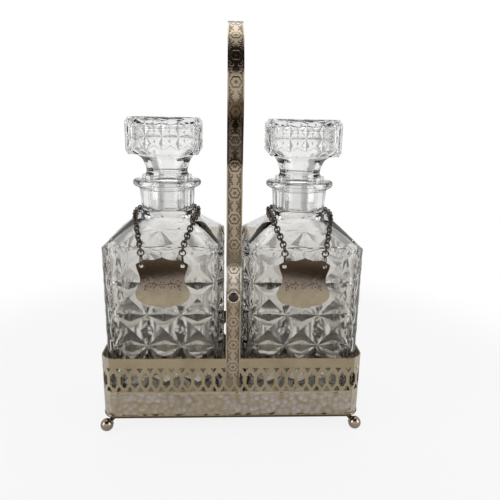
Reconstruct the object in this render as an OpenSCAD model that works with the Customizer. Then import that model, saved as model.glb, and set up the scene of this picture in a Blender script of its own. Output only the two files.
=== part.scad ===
// Two square pressed glass decanters in a pierced silver plated tray with a swing handle.
// The origin is on the floor under the middle of the tray, X runs along the tray, -Y is the front.

/* [Decanter body] */
// Width and depth of the square glass body
body_w = 90; // [84:1:100]
// Radius of the upright corners of the body
body_corner_r = 7.2; // [6:0.2:9]
// Height of the body from its base to the shoulder edge
body_h = 133.7; // [125:1:150]
// Thickness of the side walls
glass_wall = 5; // [4:0.5:7]
// Thickness of the glass base
glass_base = 8; // [6:1:12]
// Rise of the sloping shoulder up to the neck
shoulder_h = 19.2; // [16:0.5:26]
// Width of the bevel round the foot of the body
body_foot_bevel = 2.5; // [1:0.5:4]

/* [Pressed stars] */
// Number of star cells across one face
star_cols = 3; // [2:1:4]
// Depth of the star grooves
star_depth = 2; // [1:0.2:2.6]
// Half width of a star ray, as a share of its cell
star_ray = 0.2; // [0.14:0.02:0.28]

/* [Neck] */
// Outer radius of the neck at its foot
neck_r = 20.4; // [18:0.2:23]
// Outer radius of the neck under the lip
neck_top_r = 21.4; // [19:0.2:24]
// Height of the neck from the shoulder to the top of the lip
neck_h = 27.1; // [22:0.5:34]
// Radius of the lip
lip_r = 26.4; // [25:0.2:29]
// Thickness of the lip
lip_t = 4.9; // [3:0.2:7]
// Radius of the bore in the neck
bore_r = 15.6; // [13:0.2:16.6]

/* [Stopper] */
// Width and depth of the square stopper head
head_w = 54; // [44:1:58]
// Height of the stopper head
head_h = 24.6; // [18:0.5:30]
// Bevel round the stopper head
head_bevel = 3; // [1:0.5:4.5]
// Radius of the waist under the head
waist_r = 16; // [12.5:0.5:18]
// Height of the flared stem between the seal and the head
stem_h = 18.8; // [14:0.5:24]
// Length of the plug below the lip
plug_h = 23.5; // [14:0.5:24]
// Number of star cells across the head
head_cols = 4; // [3:1:5]

/* [Stopper seal] */
// Wall of the clear sleeve round the plug
seal_wall = 1.6; // [1:0.1:2.4]
// Radius of the flange of the sleeve
seal_flange_r = 19.3; // [17.5:0.2:22]
// Thickness of the flange of the sleeve
seal_flange_t = 3.2; // [2:0.2:5]
// Number of soft ribs round the sleeve
seal_ribs = 3; // [1:1:4]

/* [Tray] */
// Space between the two decanters
decanter_gap = 14.2; // [12:0.2:20]
// Space between the decanters and the wall round them
tray_clear = 3.2; // [2:0.2:6]
// Thickness of the sheet metal of the wall
wall_t = 0.9; // [0.7:0.1:1.4]
// Height of the wall
wall_h = 49.5; // [46:0.5:58]
// Radius of the upright corners of the wall, outside
tray_corner_r = 11.6; // [10:0.2:14]
// Thickness of the base plate
base_t = 1; // [0.8:0.1:2]
// How far the edge of the base plate stands out past the wall
base_lip = 0.4; // [0.2:0.1:0.6]
// Height of the underside of the base plate above the floor
base_z = 12; // [11.4:0.2:16]

/* [Piercing] */
// Distance between the pierced columns along the wall
pierce_pitch = 8.15; // [7.4:0.05:9]
// Shift of the pierced pattern along the wall
pierce_shift = -2.6; // [-4:0.1:4]
// Height of the middle of the long openings above the foot of the wall
pierce_z = 31.2; // [28:0.2:33]
// Width of a long opening
slot_w = 5.5; // [4.4:0.1:5.8]
// Height of the wide part of a long opening
slot_h = 6.8; // [5:0.2:7.6]
// Width of the lobes at the ends of a long opening
lobe_w = 2.9; // [2:0.1:3.4]
// Height of a long opening over its lobes
slot_full_h = 12.4; // [10:0.2:13]
// Width of a small triangular opening
tri_w = 4.7; // [3.6:0.1:5]
// Height of a small triangular opening
tri_h = 3.8; // [3:0.1:4.4]

/* [Feet] */
// Diameter of a ball foot
ball_d = 10; // [9:0.2:10.8]
// Depth of the worn flat under a ball foot
ball_flat = 0.3; // [0.2:0.05:0.6]
// How far a ball stands out from the middle of the corner arc
ball_out = 12.8; // [12:0.2:14]
// How far the lug of a foot stands out from the middle of the corner arc
lug_out = 5; // [4:0.2:5.6]
// Radius of the lug of a foot
lug_r = 5.2; // [4.4:0.2:5.6]
// Radius of the peg that holds a ball
peg_r = 1.7; // [1.3:0.1:2]

/* [Uprights and handle] */
// Width of the embossed strap
strap_w = 11; // [9:0.2:13]
// Thickness of the strap
strap_t = 1.2; // [1:0.1:1.5]
// Height of the pivots above the floor
pivot_z = 113.6; // [104:0.5:122]
// How far an upright reaches down over the wall
upright_lap = 14.8; // [10:0.5:20]
// Height of the middle of the arch above the pivots
arch_rise = 136.4; // [130:1:150]
// Middle radius of the arch of the handle
arch_r = 57.4; // [55:0.5:64]
// Length of the outward sweep below the arch
sweep_h = 46; // [36:1:60]
// Length of the step that brings the handle in above the pivot
step_h = 14; // [10:0.5:20]
// Radius of the pivot pin
pin_r = 1.6; // [1.2:0.1:2]
// Radius of the domed head of the pivot rivet
rivet_head_r = 3.7; // [3.2:0.1:4.4]
// Height of the domed head
rivet_head_h = 1.5; // [1:0.1:2]
// Radius of the scalloped washer, over its lobes
washer_r = 4.9; // [4.5:0.1:5.4]
// Number of lobes of the washer
washer_lobes = 8; // [6:1:10]
// Thickness of the washer
washer_t = 0.6; // [0.4:0.1:1]

/* [Labels and chains] */
// Width of a label over its belly
label_w = 39.8; // [34:0.2:42]
// Height of a label
label_h = 40; // [34:0.5:42]
// Thickness of a label
label_t = 0.6; // [0.5:0.1:0.9]
// How far the middle of a label bows out from its edges
label_bow = 1; // [0.5:0.1:1.2]
// Distance between the two holes of a label
label_hole_gap = 29.8; // [26:0.2:31]
// Radius of the holes of a label
label_hole_r = 1.5; // [1.3:0.1:1.8]
// Distance of the holes below the shoulder edge of the decanter
label_drop = 11.3; // [10:0.1:14]
// Diameter of the chain wire
wire_d = 0.9; // [0.7:0.05:1]
// Distance between the middles of two chain links
link_pitch = 3.8; // [3.4:0.1:4.4]
// Outer diameter of the round ring at each end of a chain
end_ring_d = 5.6; // [5:0.1:6.4]

/* [Clearances] */
// Gap under a piece that can be lifted out
seat_gap = 0.2; // [0.1:0.05:0.3]
// Gap between the sleeve and the bore of the neck
bore_gap = 0.25; // [0.2:0.05:0.4]
// Gap round the pivot pin
pin_gap = 0.05; // [0.03:0.01:0.1]
// Gap between flat pieces that turn on each other
turn_gap = 0.15; // [0.1:0.05:0.3]
// Gap between the edges of a label and the glass
label_gap = 1; // [0.9:0.05:1.1]

/* [Hidden] */
$fn = 64;

eps = 0.01;
over = 1;

// Tray and seats
tray_l = 2 * body_w + decanter_gap + 2 * tray_clear + 2 * wall_t;
tray_w = body_w + 2 * tray_clear + 2 * wall_t;
corner_x = tray_l / 2 - tray_corner_r;
corner_y = tray_w / 2 - tray_corner_r;
wall_z = base_z + base_t;
rim_z = wall_z + wall_h;
decanter_x = (body_w + decanter_gap) / 2;
glass_z = wall_z + seat_gap;
shoulder_z = glass_z + body_h;
neck_z = shoulder_z + shoulder_h;
lip_z = neck_z + neck_h;
body_front = body_w / 2;
neck_fillet = 3;
neck_sink = 2;

// Stopper heights
flange_z = lip_z + seat_gap;
head_z = flange_z + seal_flange_t + seat_gap + stem_h;
seal_out_r = bore_r - bore_gap;
rib_h = 0.15;
plug_r = seal_out_r - rib_h - seal_wall;

// Star pattern
face_w = body_w - 2 * body_corner_r;
star_cell = face_w / star_cols;
star_rows = floor((body_h - body_foot_bevel - 2) / star_cell);
head_face_w = head_w - 2 * head_bevel;
head_cell = head_face_w / head_cols;
head_rows = max(1, round((head_h - 2 * head_bevel) / head_cell));
head_cell_h = (head_h - 2 * head_bevel) / head_rows;
head_star_depth = 1.1;

// Piercing columns round the middle line of the wall
wall_mid_r = tray_corner_r - wall_t / 2;
quarter_arc = wall_mid_r * PI / 2;
side_x = 2 * corner_x;
side_y = 2 * corner_y;
ring_len = 2 * (side_x + side_y) + 4 * quarter_arc;
pierce_count = 4 * round(ring_len / pierce_pitch / 4);
pierce_step = ring_len / pierce_count;
tri_tuck = 0.65;
tri_bridge = 0.4;
lobe_step = 0.9;
tri_low_z = pierce_z - slot_full_h / 2 - tri_h + tri_tuck;
tri_high_z = pierce_z + slot_full_h / 2 + tri_bridge;

// Feet
ball_r = ball_d / 2;
ball_z = ball_r - ball_flat;
lug_pad = 1;
lug_h = 4.1;
lug_peg_z = base_z - 2.6;
peg_rise = lug_peg_z - ball_z;
peg_run = ball_out - lug_out;
peg_len = norm([peg_run, peg_rise]);
peg_tilt = atan2(peg_run, peg_rise);
peg_bite = 2.4;

// Uprights, pivots and handle, as distances from the middle plane
wall_face = tray_w / 2;
upright_in = wall_face;
upright_out = upright_in + strap_t;
eye_in = upright_out + turn_gap;
eye_out = eye_in + strap_t;
arm_in = wall_face + base_lip + 0.1;
arm_mid = arm_in + strap_t / 2;
eye_mid = eye_in + strap_t / 2;
arch_z = pivot_z + arch_rise;
step_z = pivot_z + strap_w / 2 + 4;
washer_in = eye_out + turn_gap;
washer_out = washer_in + washer_t;
inner_head_h = 0.8;
inner_head_r = pin_r + 1.1;
upright_z = rim_z - upright_lap;

// Labels
label_hole_z = shoulder_z - label_drop;
label_back = body_front + label_gap;
hole_x = label_hole_gap / 2;
label_top = 0.178 * label_h;
label_r = (label_w * label_w / 4 + label_bow * label_bow) / (2 * label_bow);
hole_bow = label_bow * (1 - pow(label_hole_gap / label_w, 2));
hang_y = label_back + hole_bow + label_t / 2;

// Chain, with the long link and the round ring that hold a label
wire_r = wire_d / 2;
link_gap = 0.3;
link_in_w = 2 * wire_d;
link_mid_r = (link_in_w + wire_d) / 2;
weld = 0.06;
ring_mid_r = (end_ring_d - wire_d) / 2;
hang_wire_r = wire_r * 0.9;
hang_gap = 0.15;
hang_mid_r = wire_r + hang_wire_r + hang_gap;
hang_bar_z = label_hole_z + label_hole_r - hang_wire_r - 0.18;
hang_low_z = hang_bar_z + hang_mid_r;
hang_len = 5.3;
hang_z = hang_low_z + hang_len;
ring_z = hang_z + ring_mid_r;
slope = shoulder_h / (body_front - neck_r);
chain_rest = 2.9;
// Height of a chain on the flat of the shoulder at a distance in front of the neck axis
function over_shoulder(y) = shoulder_z + (body_front - y) * slope + chain_rest;
// Path of one half of a chain, from its end ring up the shoulder and round the back of the neck
neck_hug = neck_r + 3.1;
chain_path = [
  [hole_x, -hang_y, ring_z + ring_mid_r - 0.1],
  [hole_x + 0.8, -body_front - 0.2, over_shoulder(body_front) + 0.2],
  [hole_x + 4, -body_front + 10, over_shoulder(body_front - 10) + 0.5],
  [hole_x + 7, -body_front + 22, over_shoulder(body_front - 21) - 1.3],
  [neck_hug + 0.2, -body_front + 39, neck_z + 1.5],
  [neck_hug * cos(25), neck_hug * sin(25), neck_z + 2.5],
  [neck_hug * cos(60), neck_hug * sin(60), neck_z + 2.8],
  [0, neck_hug, neck_z + 2.9]
];

// A rectangle with round corners
module rounded_rect(l, w, r) {
  union() {
    square([l - 2 * r, w], center = true);
    square([l, w - 2 * r], center = true);
    for (sx = [-1, 1], sy = [-1, 1])
      translate([sx * (l / 2 - r), sy * (w / 2 - r)]) circle(r = r);
  }
}

// Places its children at each of the four tray corners, with the corner diagonal along X
module at_corner(sx, sy) {
  translate([sx * corner_x, sy * corner_y, 0]) rotate([0, 0, atan2(sy, sx)]) children();
}

// Places its children on the wall, at a distance along its middle line, facing out along -Y
module on_ring(s) {
  a = s;
  b = a - side_x / 2;
  c = b - quarter_arc;
  d = c - side_y;
  e = d - quarter_arc;
  f = e - side_x;
  g = f - quarter_arc;
  h = g - side_y;
  i = h - quarter_arc;
  if (b <= 0) translate([a, -wall_face + wall_t / 2, 0]) children();
  else if (c <= 0) arc_place(corner_x, -corner_y, -90 + b / wall_mid_r * 180 / PI) children();
  else if (d <= 0) translate([tray_l / 2 - wall_t / 2, -corner_y + c, 0]) rotate([0, 0, 90]) children();
  else if (e <= 0) arc_place(corner_x, corner_y, d / wall_mid_r * 180 / PI) children();
  else if (f <= 0) translate([corner_x - e, wall_face - wall_t / 2, 0]) rotate([0, 0, 180]) children();
  else if (g <= 0) arc_place(-corner_x, corner_y, 90 + f / wall_mid_r * 180 / PI) children();
  else if (h <= 0) translate([-tray_l / 2 + wall_t / 2, corner_y - g, 0]) rotate([0, 0, -90]) children();
  else if (i <= 0) arc_place(-corner_x, -corner_y, 180 + h / wall_mid_r * 180 / PI) children();
  else translate([-corner_x + i, -wall_face + wall_t / 2, 0]) children();
}

module arc_place(x, y, angle) {
  translate([x, y, 0]) rotate([0, 0, angle]) translate([wall_mid_r, 0, 0]) rotate([0, 0, 90]) children();
}

// One long opening with a lobe at each end
module slot_outline() {
  lobe = lobe_w / 2;
  full = slot_full_h / 2;
  half = slot_h / 2;
  side = slot_w / 2;
  neck = half + lobe_step;
  shoulder = full - lobe_step;
  polygon([
    [-side, -half], [-lobe, -neck], [-lobe, -shoulder], [-lobe / 2, -full],
    [lobe / 2, -full], [lobe, -shoulder], [lobe, -neck], [side, -half],
    [side, half], [lobe, neck], [lobe, shoulder], [lobe / 2, full],
    [-lobe / 2, full], [-lobe, shoulder], [-lobe, neck], [-side, half]
  ]);
}

// A prism through the wall from an outline drawn upright
module through_wall() {
  rotate([90, 0, 0]) linear_extrude(height = wall_t + 2 * over, center = true) children();
}

module gallery_wall() {
  color("darkkhaki")
  difference() {
    translate([0, 0, wall_z]) linear_extrude(height = wall_h) difference() {
      rounded_rect(tray_l, tray_w, tray_corner_r);
      rounded_rect(tray_l - 2 * wall_t, tray_w - 2 * wall_t, tray_corner_r - wall_t);
    }
    for (k = [0 : pierce_count - 1]) {
      s = (k * pierce_step + pierce_shift + ring_len) % ring_len;
      on_ring(s) translate([0, 0, wall_z + pierce_z]) through_wall() slot_outline();
      on_ring((s + pierce_step / 2) % ring_len) {
        translate([0, 0, wall_z + tri_low_z]) through_wall()
          polygon([[-tri_w / 2, 0], [tri_w / 2, 0], [tri_w / 6, tri_h], [-tri_w / 6, tri_h]]);
        translate([0, 0, wall_z + tri_high_z]) through_wall()
          polygon([[-tri_w / 2, tri_h], [0, 0], [tri_w / 2, tri_h]]);
      }
    }
  }
}

module base_plate() {
  color("darkkhaki")
  translate([0, 0, base_z]) linear_extrude(height = base_t)
    rounded_rect(tray_l + 2 * base_lip, tray_w + 2 * base_lip, tray_corner_r + base_lip);
}

// Axis of the peg, from the middle of the ball up to the lug
module along_peg() {
  translate([ball_out, 0, ball_z]) rotate([0, -peg_tilt, 0]) children();
}

module foot_ball(sx, sy) {
  color("silver")
  at_corner(sx, sy) difference() {
    translate([ball_out, 0, ball_z]) sphere(r = ball_r);
    translate([ball_out, 0, -ball_r]) cube([ball_d, ball_d, 2 * ball_r], center = true);
    along_peg() translate([0, 0, ball_r - peg_bite]) cylinder(r = peg_r + pin_gap, h = peg_bite + over);
  }
}

module foot_bracket(sx, sy) {
  color("dimgray")
  at_corner(sx, sy) union() {
    translate([lug_out, 0, base_z - lug_h]) rotate_extrude()
      polygon([
        [0, 0], [lug_r * 0.3, 0.15], [lug_r * 0.6, 0.8], [lug_r * 0.86, 1.8],
        [lug_r, lug_h - lug_pad], [lug_r, lug_h], [0, lug_h]
      ]);
    along_peg() translate([0, 0, ball_r - peg_bite + seat_gap / 2])
      cylinder(r = peg_r, h = peg_len - ball_r + peg_bite - seat_gap / 2);
  }
}

// An upright strap at the middle of one long side, with a round end at the pivot
module upright(side) {
  color("darkkhaki")
  turn_side(side) difference() {
    union() {
      translate([-strap_w / 2, upright_in, upright_z]) cube([strap_w, strap_t, pivot_z - upright_z]);
      translate([0, upright_in, pivot_z]) rotate([-90, 0, 0]) cylinder(d = strap_w, h = strap_t);
    }
    translate([0, upright_in - over, pivot_z]) rotate([-90, 0, 0])
      cylinder(r = pin_r + pin_gap, h = strap_t + 2 * over);
  }
}

// Turns the +Y side into the side asked for, -1 for the front and 1 for the back
module turn_side(side) {
  if (side > 0) children();
  else rotate([0, 0, 180]) children();
}

module pivot_rivet(side) {
  dome_r = (rivet_head_r * rivet_head_r + rivet_head_h * rivet_head_h) / (2 * rivet_head_h);
  head_y = washer_out + turn_gap;
  color("dimgray")
  turn_side(side) translate([0, 0, pivot_z]) rotate([-90, 0, 0]) union() {
    translate([0, 0, upright_in - turn_gap - inner_head_h]) cylinder(r = inner_head_r, h = inner_head_h);
    translate([0, 0, upright_in - turn_gap - eps])
      cylinder(r = pin_r, h = head_y - upright_in + turn_gap + 2 * eps);
    intersection() {
      translate([0, 0, head_y]) cylinder(r = rivet_head_r + over, h = rivet_head_h + over);
      translate([0, 0, head_y + rivet_head_h - dome_r]) sphere(r = dome_r);
    }
  }
}

module pivot_washer(side) {
  lobe_r = washer_r * sin(180 / washer_lobes) * 0.95;
  color("silver")
  turn_side(side) translate([0, washer_in, pivot_z]) rotate([-90, 0, 0]) difference() {
    union() {
      cylinder(r = washer_r - lobe_r, h = washer_t);
      for (k = [0 : washer_lobes - 1])
        rotate([0, 0, (k + 0.5) * 360 / washer_lobes]) translate([washer_r - lobe_r, 0, 0])
          cylinder(r = lobe_r, h = washer_t, $fn = 24);
    }
    translate([0, 0, -over]) cylinder(r = pin_r + pin_gap, h = washer_t + 2 * over);
  }
}

// Distance of the middle of the handle strap from the middle plane, at a height on its arms
function ease(t) = t * t * (3 - 2 * t);
function arm_line(z) =
  z < step_z ? eye_mid
  : z < step_z + step_h ? eye_mid + (arm_mid - eye_mid) * ease((z - step_z) / step_h)
  : z < arch_z - sweep_h ? arm_mid
  : arm_mid + (arch_r - arm_mid) * ease((z - arch_z + sweep_h) / sweep_h);

// Outline of the side view of the handle: up one arm, over the arch and down the other
arm_steps = 10;
arch_steps = 36;
arm_heights = concat(
  [pivot_z],
  [for (k = [0 : 6]) step_z + step_h * k / 6],
  [for (k = [0 : arm_steps - 1]) arch_z - sweep_h + sweep_h * k / arm_steps]
);
function side_line(off) = concat(
  [for (z = arm_heights) [arm_line(z) + off, z]],
  [for (k = [0 : arch_steps]) let (a = 180 * k / arch_steps)
    [(arch_r + off) * cos(a), arch_z + (arch_r + off) * sin(a)]],
  [for (k = [len(arm_heights) - 1 : -1 : 0]) [-arm_line(arm_heights[k]) - off, arm_heights[k]]]
);
function reversed(list) = [for (k = [len(list) - 1 : -1 : 0]) list[k]];

module swing_handle() {
  color("darkkhaki")
  difference() {
    union() {
      translate([strap_w / 2, 0, 0]) rotate([90, 0, -90]) linear_extrude(height = strap_w)
        polygon(concat(side_line(strap_t / 2), reversed(side_line(-strap_t / 2))));
      for (side = [-1, 1])
        turn_side(side) translate([0, eye_in, pivot_z]) rotate([-90, 0, 0])
          cylinder(d = strap_w, h = strap_t);
    }
    for (side = [-1, 1])
      turn_side(side) translate([0, eye_in - over, pivot_z]) rotate([-90, 0, 0])
        cylinder(r = pin_r + pin_gap, h = strap_t + 2 * over);
  }
}

// Triangles of one cell of the pressed star pattern, a unit square. A star stands at every corner of
// the cell, and its rays are grooves along the edges of the cell and to the middle of the cell.
crossing_share = 0.15;
centre_share = 0.75;
function star_facets(ray, deep) =
  let (
    s = -crossing_share * deep,
    c = -centre_share * deep,
    e = 0
  )
  [
    for (k = [0 : 3])
      let (
        q = [[0, 0], [1, 0], [1, 1], [0, 1]],
        a = q[k],
        b = q[(k + 1) % 4],
        m = (a + b) / 2,
        inward = [0.5, 0.5] - m,
        mid = m + inward * 2 * ray
      )
      each [
        [[a[0], a[1], s], [m[0], m[1], -deep], [mid[0], mid[1], e]],
        [[m[0], m[1], -deep], [b[0], b[1], s], [mid[0], mid[1], e]],
        [[a[0], a[1], s], [mid[0], mid[1], e], [0.5, 0.5, c]],
        [[mid[0], mid[1], e], [b[0], b[1], s], [0.5, 0.5, c]]
      ]
  ];

// Solid that is cut from a face: its underside is the star pattern, its top is above the face
module star_cutter(cols, rows, cw, ch, ray, deep) {
  s = -crossing_share * deep;
  cells = [
    for (i = [0 : cols - 1], j = [0 : rows - 1])
      each [for (t = star_facets(ray, deep))
        [for (p = t) [(i + p[0]) * cw, (j + p[1]) * ch, p[2]]]]
  ];
  edge = concat(
    [for (i = [0 : cols - 1]) [[i, 0], [i + 1, 0], [0, -1]]],
    [for (j = [0 : rows - 1]) [[cols, j], [cols, j + 1], [1, 0]]],
    [for (i = [cols - 1 : -1 : 0]) [[i + 1, rows], [i, rows], [0, 1]]],
    [for (j = [rows - 1 : -1 : 0]) [[0, j + 1], [0, j], [-1, 0]]]
  );
  rim = [
    for (g = edge)
      let (m = (g[0] + g[1]) / 2, out = m + g[2] * ray)
      each [[g[0][0] * cw, g[0][1] * ch, s], [out[0] * cw, out[1] * ch, 0]]
  ];
  skirt = [
    for (g = edge)
      let (m = (g[0] + g[1]) / 2, out = m + g[2] * ray)
      each [
        [[g[0][0] * cw, g[0][1] * ch, s], [out[0] * cw, out[1] * ch, 0], [m[0] * cw, m[1] * ch, -deep]],
        [[out[0] * cw, out[1] * ch, 0], [g[1][0] * cw, g[1][1] * ch, s], [m[0] * cw, m[1] * ch, -deep]]
      ]
  ];
  n = len(rim);
  walls = [
    for (k = [0 : n - 1])
      let (a = rim[k], b = rim[(k + 1) % n], at = [a[0], a[1], over], bt = [b[0], b[1], over])
      each [[a, at, b], [b, at, bt]]
  ];
  middle = [cols * cw / 2, rows * ch / 2, over];
  lid = [
    for (k = [0 : n - 1])
      let (a = rim[k], b = rim[(k + 1) % n])
      [[a[0], a[1], over], middle, [b[0], b[1], over]]
  ];
  under = concat(cells, skirt);
  tris = concat([for (t = under) [t[0], t[2], t[1]]], walls, lid);
  polyhedron(
    points = [for (t = tris) each t],
    faces = [for (k = [0 : len(tris) - 1]) [3 * k, 3 * k + 2, 3 * k + 1]]
  );
}

// Puts a star cutter on the four sides of a square block of width w, with its lowest row at z
module stars_round(w, z, cols, rows, cw, ch, deep) {
  for (a = [0 : 90 : 270])
    rotate([0, 0, a]) translate([-cols * cw / 2, -w / 2 - eps, z]) rotate([90, 0, 0])
      star_cutter(cols, rows, cw, ch, star_ray, deep);
}

// A square block with round corners, a bevelled foot and a shoulder that closes to a round neck
module shoulder_solid(w, r, z0, z1, bevel, top_r, top_z) {
  hull() {
    translate([0, 0, z0]) linear_extrude(height = eps)
      rounded_rect(w - 2 * bevel, w - 2 * bevel, r, $fn = 32);
    translate([0, 0, z0 + bevel]) linear_extrude(height = z1 - z0 - bevel) rounded_rect(w, w, r, $fn = 32);
    translate([0, 0, top_z - eps]) cylinder(r = top_r, h = eps, $fn = 64);
  }
}

module decanter(side) {
  inner_w = body_w - 2 * glass_wall;
  lip_low = neck_sink + neck_h - lip_t;
  inner_r = max(body_corner_r - glass_wall * 0.3, 3);
  color("gainsboro", 0.5)
  translate([side * decanter_x, 0, 0]) difference() {
    union() {
      difference() {
        shoulder_solid(body_w, body_corner_r, glass_z, shoulder_z, body_foot_bevel,
          neck_r + neck_fillet, neck_z);
        stars_round(body_w, shoulder_z - star_rows * star_cell, star_cols, star_rows,
          star_cell, star_cell, star_depth);
      }
      translate([0, 0, neck_z - neck_sink]) rotate_extrude()
        polygon([
          [0, 0], [neck_r + neck_fillet + 1.2, 0], [neck_r + neck_fillet - 0.4, neck_sink],
          [neck_r + 0.9, neck_sink + 1.6], [neck_r, neck_sink + 4.5], [neck_top_r, lip_low - 2.6],
          [lip_r - 1.8, lip_low], [lip_r - 0.5, lip_low + 0.7], [lip_r, lip_low + 2],
          [lip_r - 0.2, neck_sink + neck_h - 1.2], [lip_r - 1.6, neck_sink + neck_h], [0, neck_sink + neck_h]
        ]);
    }
    shoulder_solid(inner_w, inner_r, glass_z + glass_base, shoulder_z - 2, body_foot_bevel, bore_r,
      neck_z - glass_wall * 0.6);
    translate([0, 0, neck_z - glass_wall * 0.6 - over])
      cylinder(r = bore_r, h = neck_h + glass_wall + 2 * over);
  }
}

module stopper(side) {
  fl = head_w / 2 - head_bevel;
  color("gainsboro", 0.6)
  translate([side * decanter_x, 0, 0]) union() {
    difference() {
      hull() {
        translate([0, 0, head_z + head_h / 2])
          cube([head_w - 2 * head_bevel, head_w - 2 * head_bevel, head_h], center = true);
        translate([0, 0, head_z + head_h / 2])
          cube([head_w, head_w - 2 * head_bevel, head_h - 2 * head_bevel], center = true);
        translate([0, 0, head_z + head_h / 2])
          cube([head_w - 2 * head_bevel, head_w, head_h - 2 * head_bevel], center = true);
      }
      stars_round(head_w, head_z + head_bevel, head_cols, head_rows, head_cell, head_cell_h, head_star_depth);
    }
    translate([0, 0, flange_z + seal_flange_t + seat_gap]) rotate_extrude()
      polygon([
        [0, 0], [waist_r + 1, 0], [waist_r + 0.4, 1.2], [waist_r, 3.4], [waist_r + 0.5, 6],
        [waist_r + 2, 9], [waist_r + (fl - waist_r) * 0.42, stem_h - 5.5],
        [waist_r + (fl - waist_r) * 0.72, stem_h - 2.6], [fl, stem_h + 0.5], [0, stem_h + 0.5]
      ]);
    translate([0, 0, flange_z - plug_h]) cylinder(r = plug_r, h = plug_h + seal_flange_t + seat_gap + eps);
  }
}

module stopper_seal(side) {
  pitch = (plug_h - 6) / seal_ribs;
  color("white", 0.7)
  translate([side * decanter_x, 0, 0]) difference() {
    union() {
      translate([0, 0, flange_z]) cylinder(r = seal_flange_r, h = seal_flange_t);
      translate([0, 0, flange_z - plug_h]) cylinder(r = seal_out_r - rib_h, h = plug_h + eps);
      for (k = [0 : seal_ribs - 1])
        translate([0, 0, flange_z - 4 - k * pitch]) cylinder(r = seal_out_r, h = 1.2);
    }
    translate([0, 0, flange_z - plug_h - over])
      cylinder(r = plug_r + pin_gap / 2, h = plug_h + seal_flange_t + 2 * over);
  }
}

// Outline of a label about the middle of its hole line, in the plane of the glass
module label_outline() {
  w = label_w / 2;
  h = label_h;
  hx = hole_x;
  top = label_top;
  polygon([
    [0, top], [-0.09 * w, top - 0.03 * h], [-0.36 * w, top - 0.065 * h], [-0.66 * w, top - 0.06 * h],
    [-0.95 * w, 0.03 * h], [-0.92 * w, -0.05 * h], [-0.83 * w, -0.18 * h], [-0.81 * w, -0.26 * h],
    [-0.85 * w, -0.36 * h], [-0.95 * w, -0.45 * h], [-w, -0.54 * h], [-0.96 * w, -0.62 * h],
    [-0.84 * w, -0.69 * h], [-0.6 * w, -0.745 * h], [-0.3 * w, -0.775 * h], [-0.08 * w, -0.795 * h],
    [0, top - h],
    [0.08 * w, -0.795 * h], [0.3 * w, -0.775 * h], [0.6 * w, -0.745 * h], [0.84 * w, -0.69 * h],
    [0.96 * w, -0.62 * h], [w, -0.54 * h], [0.95 * w, -0.45 * h], [0.85 * w, -0.36 * h],
    [0.81 * w, -0.26 * h], [0.83 * w, -0.18 * h], [0.92 * w, -0.05 * h], [0.95 * w, 0.03 * h],
    [0.66 * w, top - 0.06 * h], [0.36 * w, top - 0.065 * h], [0.09 * w, top - 0.03 * h]
  ]);
}

// A label, bowed out a little about an upright axis
module label(side) {
  axis_y = -label_back - label_bow + label_r;
  color("tan")
  translate([side * decanter_x, 0, label_hole_z]) difference() {
    intersection() {
      translate([0, axis_y, -label_h]) cylinder(r = label_r + label_t, h = 2 * label_h, $fn = 96);
      translate([0, -label_back, 0]) rotate([90, 0, 0]) translate([0, 0, -2 * label_bow])
        linear_extrude(height = 6 * label_bow) label_outline();
    }
    translate([0, axis_y, -label_h - over]) cylinder(r = label_r, h = 2 * (label_h + over), $fn = 96);
    for (x = [-hole_x, hole_x])
      translate([x, 0, 0]) rotate([90, 0, 0]) cylinder(r = label_hole_r, h = body_w);
  }
}

// An oval link lying in the XZ plane about the origin
module oval_link(straight, mid_r, r) {
  union() {
    for (end = [-1, 1])
      translate([0, 0, end * straight / 2]) rotate([90, 0, 0]) rotate([0, 0, end > 0 ? 0 : 180])
        rotate_extrude(angle = 180) translate([mid_r, 0]) circle(r = r, $fn = 16);
    for (x = [-mid_r, mid_r])
      translate([x, 0, -straight / 2 - weld]) cylinder(r = r * 0.93, h = straight + 2 * weld, $fn = 16);
  }
}

// The long link between a label hole and the end ring of its chain, turned edge on
module label_link(side) {
  color("dimgray")
  translate([side * decanter_x, 0, 0]) for (x = [-hole_x, hole_x])
    translate([x, -hang_y, (hang_z + hang_low_z) / 2]) rotate([0, 0, 90])
      oval_link(hang_len, hang_mid_r, hang_wire_r);
}

// Smooth line through the points of the path, in short straight steps
function blend(a, b, c, d, t) =
  0.5 * (2 * b + (c - a) * t + (2 * a - 5 * b + 4 * c - d) * t * t + (3 * b - a - 3 * c + d) * t * t * t);
last = len(chain_path) - 1;
before_start = 2 * chain_path[0] - chain_path[1];
past_end = [-chain_path[last - 1][0], chain_path[last - 1][1], chain_path[last - 1][2]];
function path_point(k) = k < 0 ? before_start : k > last ? past_end : chain_path[k];
path_steps = 8;
fine_path = concat(
  [for (k = [0 : last - 1], j = [0 : path_steps - 1])
    blend(path_point(k - 1), path_point(k), path_point(k + 1), path_point(k + 2), j / path_steps)],
  [chain_path[last]]
);
function run_up(k, s, list) =
  k >= len(fine_path) - 1 ? concat(list, [s])
  : run_up(k + 1, s + norm(fine_path[k + 1] - fine_path[k]), concat(list, [s]));
path_run = run_up(0, 0, []);
path_len = path_run[len(path_run) - 1];
function path_seg(s, k = 0) = k >= len(fine_path) - 2 || path_run[k + 1] >= s ? k : path_seg(s, k + 1);
function path_at(s) =
  let (k = path_seg(s), t = (s - path_run[k]) / (path_run[k + 1] - path_run[k]))
  fine_path[k] * (1 - t) + fine_path[k + 1] * t;
first_link = 0.37 * link_pitch;
first_roll = 30;
link_roll = 45;
half_links = round((path_len - first_link) / link_pitch);
link_step = (path_len - first_link) / half_links;
link_straight = link_step + link_gap - link_in_w;
chord = link_step / 2;

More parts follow.
